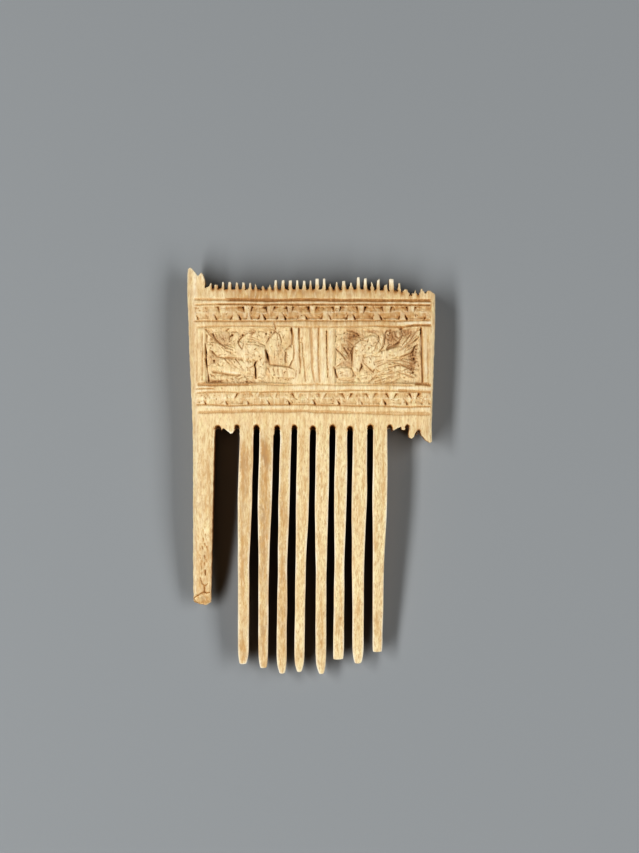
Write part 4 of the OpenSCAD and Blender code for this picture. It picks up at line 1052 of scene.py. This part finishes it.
def carving(p):
    """Height of the carving against the plain front, its darkness, and the brightness of its worn wood
    and of the painted highlights on ridges and posts.
    """
    x, y = p[:, 0], p[:, 1]
    z, dark, light = np.zeros(len(p)), np.zeros(len(p)), np.zeros(len(p))
    for i, border in enumerate(BORDERS):
        # the border's worn wood comes with painted highlight on its posts and ridge
        height, chips, worn = border_height(p, border, 310 + 10 * i)
        z += height
        dark = np.maximum(dark, chips)
        light = np.maximum(light, worn)
    height = panel_height(p)
    z += height
    ground = np.clip((-height - 0.3) * 0.5, 0, 0.16)
    dirt = stain_and_shade(x, y) * (-height * 2).clip(0, 1) * (0.5 + 0.3 * waves(x, y, 0.9, 82))
    cuts = knife_depth(p)
    dark = np.maximum.reduce([dark, ground, dirt.clip(0, 0.8), np.interp(cuts, *CUT_BROWN)])
    z -= cuts * 0.85
    z, dark, light = cut_grooves(p, z, dark, light)
    light = np.maximum(light, ridge_wear_and_highlight(p) * (1 - 1.5 * dark).clip(0))
    tops = in_fields(x, y) * step(-0.35, -0.1, height) * (0.7 + 0.3 * waves(x, y, 2, 83))
    light = np.maximum(light, 0.28 * tops * (1 - 2 * dark - stain_and_shade(x, y)).clip(0))
    return z, dark, light


def gullet_stain(p):
    """Brown of the wood round the ends of the saw cuts between the fine teeth."""
    x, y = p[:, 0], p[:, 1]
    total = np.zeros(len(p))
    for a, b, end in fine_cuts()[:-1]:
        half = max((b - a) / 2, 0.2) + 0.45
        below = end - y
        spot = np.exp(-((x - (a + b) / 2) / half) ** 2) * between(-1.5, 0, 0.3, 2.2, below)
        total = np.maximum(total, spot)
    return total * (0.75 + 0.25 * waves(x, y, 5, 45)).clip(0, 1)


# Height and tone of the two faces

def broken_guard(p, z):
    """The front with the guard tooth thinner towards its end, which is broken off at a slant."""
    x, y = p[:, 0], p[:, 1]
    z = z - np.where(x < GUARD_X, GUARD_DROP * step(-28, -56, y), 0)
    below = -51.2 + 0.25 * waves(x, y, 2.2, 43) - y
    slant = below.clip(0) * 0.45 + 0.1 * facets(x, y, 1.1, 44) * step(0, 0.6, below)
    return np.where((x < GUARD_X) & (y < -50), z - slant, z)


def edge_wear_and_highlight(p, dist):
    """Brightness of the worn edges with a painted highlight along them, strongest on the coarse teeth,
    of the fine tips and of the break at the top left.
    """
    x, y = p[:, 0], p[:, 1]
    teeth = step(3, -3, y) * (x > GUARD_X) * (x < COARSE_X)
    # painted highlight with worn wood along every edge, brighter on the coarse teeth
    rim = (1 - step(0.12, 0.42, dist)) * (0.3 + 0.9 * teeth * (0.85 + 0.4 * waves(x, y, 4, 46, 4)))
    tips = 1.3 * step(41.2, 43, y) * (x > HORN_X) * (x < 28)
    snapped = (1 - dist / 0.6).clip(0, 1) * ((y > 43) & (x < HORN_X))
    return np.maximum.reduce([rim, tips, snapped])


def front_height(p, dist):
    """Height of the front, with its darkness and brightness at each point, painted shade on the ends of
    the saw cuts and painted highlight on edges and ridges among them.
    """
    x, y = p[:, 0], p[:, 1]
    z = crown(y, SIDE_FRONT) - fall(x) - bevel(p)
    z -= 0.06 + 0.04 * facets(x, y, 1.7, 41, 5) * step(3, 0, y) + 0.015 * waves(x, y, 3, 42)
    carve, dark, light = carving(p)
    z += carve
    slope = cut_slopes(p, 1)
    # painted shade on the sloping ends of the saw cuts, darker the further they lie below the uncut
    # front
    browner = 0.3 + (z - slope) * np.where(y < 20, 0.35, 0.22)
    dark = np.maximum(dark, np.where(slope < z, np.clip(browner, 0, 1), 0))
    dark = np.maximum(dark, gullet_stain(p))
    z = broken_guard(p, np.minimum(z, slope)) - rounding(p, dist)
    return z, dark, np.maximum(light, edge_wear_and_highlight(p, dist)).clip(0, 1.5)


def back_height(p, dist):
    """Height of the back, which is plain."""
    x, y = p[:, 0], p[:, 1]
    z = crown(y, SIDE_BACK) + fall(x) + bevel(p) * 0.8
    z += 0.02 * (1 + waves(x, y, 3.6, 47, 5)) + np.where(x < GUARD_X, GUARD_LIFT * step(-35, -56, y), 0)
    return np.maximum(z, cut_slopes(p, -1)) + rounding(p, dist)


def flank_painted_shade(p):
    """Painted shade on the outline's side walls, near the front and at the back: dark brown in the saw
    cuts, darker towards the back on the outer edges."""
    x, y = p[:, 0], p[:, 1]
    coarse = step(-1, -2, y) * ((x > -30.8) & (x < 21))
    fine = between(39, 40.5, 41.2, 43.4, y) * ((x > -31.7) & (x < 34))
    cuts = np.maximum(0.92 * coarse, 0.45 * fine)
    return np.maximum(0.35, cuts * 0.85), np.maximum(0.75, cuts)


# Mesh

def grid(x0, x1, y0, y1, dx, dy, seed):
    """Staggered points over a box, moved a little at random so that no rows show."""
    rng = np.random.default_rng(seed)
    xs, ys = np.arange(x0, x1, dx), np.arange(y0, y1, dy)
    gx, gy = np.meshgrid(xs, ys)
    gx = gx + (np.arange(len(ys)) % 2 * dx / 2)[:, None]
    p = np.stack([gx.ravel(), gy.ravel()], 1)
    return p + rng.uniform(-0.18, 0.18, p.shape) * (dx, dy)


def clear_of_outline(p, margin):
    """Those of the points that lie within the outline, further from it than the margin."""
    p = p[inside(p)]
    return p[edge_distance(p) > margin]


def rings(offsets):
    """Points just inside the outline, at each offset from it."""
    d = NEXT - np.roll(OUTLINE, 1, axis=0)
    n = np.stack([-d[:, 1], d[:, 0]], 1) / np.maximum(np.hypot(*d.T), 1e-9)[:, None]
    return np.vstack([clear_of_outline(OUTLINE + n * off, off * 0.8) for off in offsets])


def front_points():
    """Points of the front's mesh, close together over the carving."""
    p = np.vstack([grid(*zone, seed=90 + i) for i, zone in enumerate(MESH_ZONES)])
    return np.vstack([rings((0.1, 0.24)), clear_of_outline(p, 0.3)])


def back_points():
    """Points of the back's mesh, closer together at the ends of the saw cuts."""
    wide = clear_of_outline(grid(*BACK_ZONE, seed=200), 0.55)
    close = clear_of_outline(grid(*BACK_CUT_ZONE, seed=201), 0.35)
    return np.vstack([rings((0.2,)), wide, close])


def triangulate(points):
    """Triangles over the outline and the points within it: vertices, faces, and for each vertex of
    the outline its number among them."""
    n = len(OUTLINE)
    every = [Vector(q) for q in np.vstack([OUTLINE, points]).tolist()]
    loop = [(i, (i + 1) % n) for i in range(n)]
    verts, _, faces, source, _, _ = geometry.delaunay_2d_cdt(every, loop, [], 1, 1e-5)
    place = np.zeros(n, int)
    for i, numbers in enumerate(source):
        for k in numbers:
            if k < n:
                place[k] = i
    v = np.array([tuple(q) for q in verts])
    f = np.array([tuple(t) for t in faces])
    a, b, c = v[f[:, 0]], v[f[:, 1]], v[f[:, 2]]
    turn = (b[:, 0] - a[:, 0]) * (c[:, 1] - a[:, 1]) - (b[:, 1] - a[:, 1]) * (c[:, 0] - a[:, 0])
    f[turn < 0] = f[turn < 0][:, ::-1]
    return v, f, place


def side_walls(front, middle, back):
    """Triangles of the side walls, from the vertices round the front over those round the middle of
    the walls to those round the back."""
    n = len(OUTLINE)
    faces = []
    for i in range(n):
        j = (i + 1) % n
        for upper, lower in ((front, middle), (middle, back)):
            faces += [(upper[i], lower[i], upper[j]), (upper[j], lower[i], lower[j])]
    return np.array(faces)


def comb_tones(verts, dark, wear_and_highlight, back_at, back_count):
    """Attributes of the vertices that the boxwood reads: darkness, with the painted shade of the side
    walls and the cut ends; brightness of worn wood and painted highlight; brown stains with a little
    painted shade; the sunk fields and the coarse teeth. The brightness comes in for the front only, the
    darkness for the front and the side walls."""
    x, y = verts[:, 0], verts[:, 1]
    near_front, near_back = flank_painted_shade(OUTLINE)
    back_rim = np.zeros(back_count)
    back_rim[back_at] = near_back
    return {
        "dark": np.concatenate([dark, back_rim, near_front]),
        "wear_and_highlight": np.concatenate([wear_and_highlight, np.zeros(len(verts) - len(wear_and_highlight))]),
        "stain_and_shade": stain_and_shade(x, y), "field": in_fields(x, y), "grain": step(1, -4, y),
    }


def mesh_object(name, verts, faces, tones):
    """Object of the vertices, smooth apart from its sharp edges, with the tones as attributes."""
    mesh = bpy.data.meshes.new(name)
    mesh.from_pydata(verts.tolist(), [], faces.tolist())
    mesh.validate()
    for key, values in tones.items():
        mesh.attributes.new(key, "FLOAT", "POINT").data.foreach_set("value", values.astype(np.float32))
    mesh.shade_smooth()
    mesh.set_sharp_from_angle(angle=SHARP_ANGLE)
    ob = bpy.data.objects.new(name, mesh)
    bpy.context.scene.collection.objects.link(ob)
    return ob


def build_comb():
    """The comb as one mesh: front, back, and side walls with a line round their middle."""
    front, front_faces, front_at = triangulate(front_points())
    back, back_faces, back_at = triangulate(back_points())
    top, dark, wear_and_highlight = front_height(front, edge_distance(front))
    bottom = back_height(back, edge_distance(back))
    wall = np.maximum(top[front_at] - bottom[back_at], LEAST_WALL)
    top[front_at] = bottom[back_at] + wall
    top = np.minimum(top, BODY_T - WITHIN_Z)
    bottom = np.maximum(bottom, WITHIN_Z)
    verts = np.vstack([np.column_stack([front, top]), np.column_stack([back, bottom]),
                       np.column_stack([OUTLINE, top[front_at] - 0.2 * wall])])
    middle_at = np.arange(len(OUTLINE)) + len(front) + len(back)
    walls = side_walls(front_at, middle_at, back_at + len(front))
    faces = np.vstack([front_faces, back_faces[:, ::-1] + len(front), walls])
    tones = comb_tones(verts, dark, wear_and_highlight, back_at, len(back))
    verts[:, 1] += SHIFT_Y
    return mesh_object("comb_carved", verts * MM, faces, tones)


# Materials

def node(t, kind, **values):
    """New node in the tree t, with each value set as its property or on its socket of that name."""
    n = t.nodes.new(kind)
    for key, value in values.items():
        if hasattr(n, key):
            setattr(n, key, value)
        else:
            n.inputs[key.replace("_", " ")].default_value = value
    return n


def wood_noises(t):
    """The noises over the wood, by their names."""
    place = node(t, "ShaderNodeTexCoord")
    noises = {}
    for name, (scale, stretch, detail, rough) in NOISES.items():
        m = node(t, "ShaderNodeMapping", Scale=(scale, scale / stretch, scale))
        t.links.new(place.outputs["Object"], m.inputs["Vector"])
        n = node(t, "ShaderNodeTexNoise", Scale=1.0, Detail=detail, Roughness=rough)
        t.links.new(m.outputs["Vector"], n.inputs["Vector"])
        noises[name] = n.outputs["Fac"]
    return noises


def attribute(t, name):
    """Attribute of the vertices, from comb_tones()."""
    return node(t, "ShaderNodeAttribute", attribute_name=name).outputs["Fac"]


def ramp(t, value, low, high, out_low=0.0, out_high=1.0):
    """Straight change from out_low where the value is low to out_high where it is high."""
    r = node(t, "ShaderNodeMapRange", clamp=True, From_Min=low, From_Max=high, To_Min=out_low,
             To_Max=out_high)
    t.links.new(value, r.inputs["Value"])
    return r.outputs["Result"]


def times(t, a, b):
    """Product of a value and of another one or a number."""
    m = node(t, "ShaderNodeMath", operation="MULTIPLY")
    t.links.new(a, m.inputs[0])
    if isinstance(b, float):
        m.inputs[1].default_value = b
    else:
        t.links.new(b, m.inputs[1])
    return m.outputs[0]


def mix(t, amount, a, b):
    """Colour between a and b, by the amount of b."""
    m = node(t, "ShaderNodeMix", data_type="RGBA", blend_type="MIX")
    t.links.new(amount, m.inputs["Factor"])
    for socket, colour in ((6, a), (7, b)):
        if isinstance(colour, tuple):
            m.inputs[socket].default_value = (*colour, 1)
        else:
            t.links.new(colour, m.inputs[socket])
    return m.outputs[2]


def lay_tones(t, noises, colour, tones, mask):
    """The colour with each of the tones laid over it, where told only within the mask."""
    for name, begins, full, strength, tone, masked in tones:
        amount = ramp(t, noises[name], begins, full, 0, strength)
        if masked:
            amount = times(t, mask, amount)
        colour = mix(t, amount, colour, tone)
    return colour


def clean_wood(t, noises):
    """Colour of the bare boxwood, browner and with more grain on the coarse teeth."""
    teeth = attribute(t, "grain")
    colour = mix(t, ramp(t, noises["broad"], 0.35, 0.68), WOOD_DARKER, WOOD_LIGHTER)
    colour = lay_tones(t, noises, colour, BASE_TONES, teeth)
    colour = mix(t, times(t, teeth, TEETH_STRENGTH), colour, TEETH_BROWN)
    return lay_tones(t, noises, colour, GRAIN_TONES, teeth)


def stained_and_shaded_wood(t, noises, colour, field):
    """The colour with the brown stains and the painted shade among them, greyer within the sunk fields.
    """
    patch = times(t, attribute(t, "stain_and_shade"), ramp(t, noises["mottle"], 0.35, 0.6, 0.5, 1.15))
    tint = mix(t, ramp(t, noises["patches"], 0.42, 0.58), STAIN_AND_SHADE_REDDER, STAIN_AND_SHADE_GREYER)
    tint = mix(t, field, tint, STAIN_FIELDS)
    colour = mix(t, times(t, patch, STAIN_AND_SHADE_STRENGTH), colour, tint)
    return lay_tones(t, noises, colour, STAIN_AND_SHADE_TONES, patch)


def browned_wood(t, noises, colour, field):
    """The colour with the brown of the cuts, nearly black where they are deepest."""
    browned = times(t, attribute(t, "dark"), ramp(t, noises["grain"], 0.3, 0.7, 0.85, 1.2))
    brown = mix(t, field, CUT_COLOUR, CUT_FIELDS)
    colour = mix(t, ramp(t, browned, 0.05, 0.7, 0, 0.92), colour, brown)
    return mix(t, ramp(t, browned, 0.62, 1.0, 0, 0.95), colour, CUT_DEEPEST)


def worn_and_highlit_wood(t, noises, colour):
    """The colour with the pale wood of the worn edges and ridges, and with the painted highlights along
    them.
    """
    wear_and_highlight = attribute(t, "wear_and_highlight")
    worn = times(t, ramp(t, wear_and_highlight, 0, 1), ramp(t, noises["patches"], 0.35, 0.6, 1.0, 0.6))
    colour = mix(t, times(t, worn, WORN_AND_HIGHLIGHT_STRENGTH), colour, WORN_AND_HIGHLIGHT_COLOUR)
    return mix(t, ramp(t, wear_and_highlight, 1, 1.4, 0, 0.7), colour, WORN_AND_HIGHLIGHT_BRIGHTEST)


def grain_bumps(t, noises):
    """Small bumps of the fine grain, then those of the grain over them."""
    fine = node(t, "ShaderNodeBump", Strength=0.6, Distance=0.00015)
    t.links.new(noises["fine"], fine.inputs["Height"])
    coarse = node(t, "ShaderNodeBump", Strength=0.5, Distance=0.0003)
    t.links.new(noises["grain"], coarse.inputs["Height"])
    t.links.new(fine.outputs["Normal"], coarse.inputs["Normal"])
    return coarse.outputs["Normal"]


def boxwood():
    """Old boxwood with its grain, brown stains, dark cuts and pale worn wood, with painted shade on the
    side walls and the ends of the saw cuts and painted highlight along edges and ridges.
    """
    mat = bpy.data.materials.new("boxwood")
    mat.use_nodes = True
    t = mat.node_tree
    shader = t.nodes["Principled BSDF"]
    noises = wood_noises(t)
    field = attribute(t, "field")
    colour = stained_and_shaded_wood(t, noises, clean_wood(t, noises), field)
    colour = worn_and_highlit_wood(t, noises, browned_wood(t, noises, colour, field))
    t.links.new(colour, shader.inputs["Base Color"])
    t.links.new(ramp(t, noises["mottle"], 0.3, 0.7, 0.42, 0.6), shader.inputs["Roughness"])
    t.links.new(grain_bumps(t, noises), shader.inputs["Normal"])
    return mat


def floor_material():
    """Pale matt grey."""
    mat = bpy.data.materials.new("pale_floor")
    mat.use_nodes = True
    shader = mat.node_tree.nodes["Principled BSDF"]
    shader.inputs["Base Color"].default_value = FLOOR_COLOUR
    shader.inputs["Roughness"].default_value = 0.9
    shader.inputs["Specular IOR Level"].default_value = 0.2
    return mat


# Floor, lights, camera

def level_floor():
    """Level floor under the comb."""
    bpy.ops.mesh.primitive_plane_add(size=FLOOR_SIZE, location=(0, 0, FLOOR_Z))
    ob = bpy.context.object
    ob.name = "floor"
    ob.data.materials.append(floor_material())
    return ob


def softbox(name, where, across, along, power):
    """Area light aimed at the comb, with its long side along the comb."""
    light = bpy.data.lights.new(name, "AREA")
    light.shape = "RECTANGLE"
    light.size, light.size_y, light.energy = across, along, power
    ob = bpy.data.objects.new(name, light)
    bpy.context.scene.collection.objects.link(ob)
    ob.location = where
    ob.rotation_euler = (0, atan2(where[0], where[2]), 0)


def studio():
    """The lights, the faint light from all round and the tones of the picture."""
    for row in LIGHTS:
        softbox(*row)
    scene = bpy.context.scene
    scene.world = bpy.data.worlds.new("studio")
    scene.world.use_nodes = True
    background = scene.world.node_tree.nodes["Background"]
    background.inputs["Color"].default_value = (1, 1, 1, 1)
    background.inputs["Strength"].default_value = SKY_STRENGTH
    scene.view_settings.view_transform = "Standard"
    scene.view_settings.look = "High Contrast"


def overhead_camera():
    """Camera that looks straight down."""
    data = bpy.data.cameras.new("camera")
    data.sensor_fit = "VERTICAL"
    data.sensor_height = SENSOR_HEIGHT
    data.lens = LENS
    camera = bpy.data.objects.new("camera", data)
    camera.location = (CAMERA_X * MM, CAMERA_Y * MM, CAMERA_Z * MM)
    bpy.context.scene.collection.objects.link(camera)
    bpy.context.scene.camera = camera


comb = build_comb()
comb.data.materials.append(boxwood())
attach(comb, "root")
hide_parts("comb")

floor = level_floor()
studio()
overhead_camera()

bpy.context.view_layer.update()
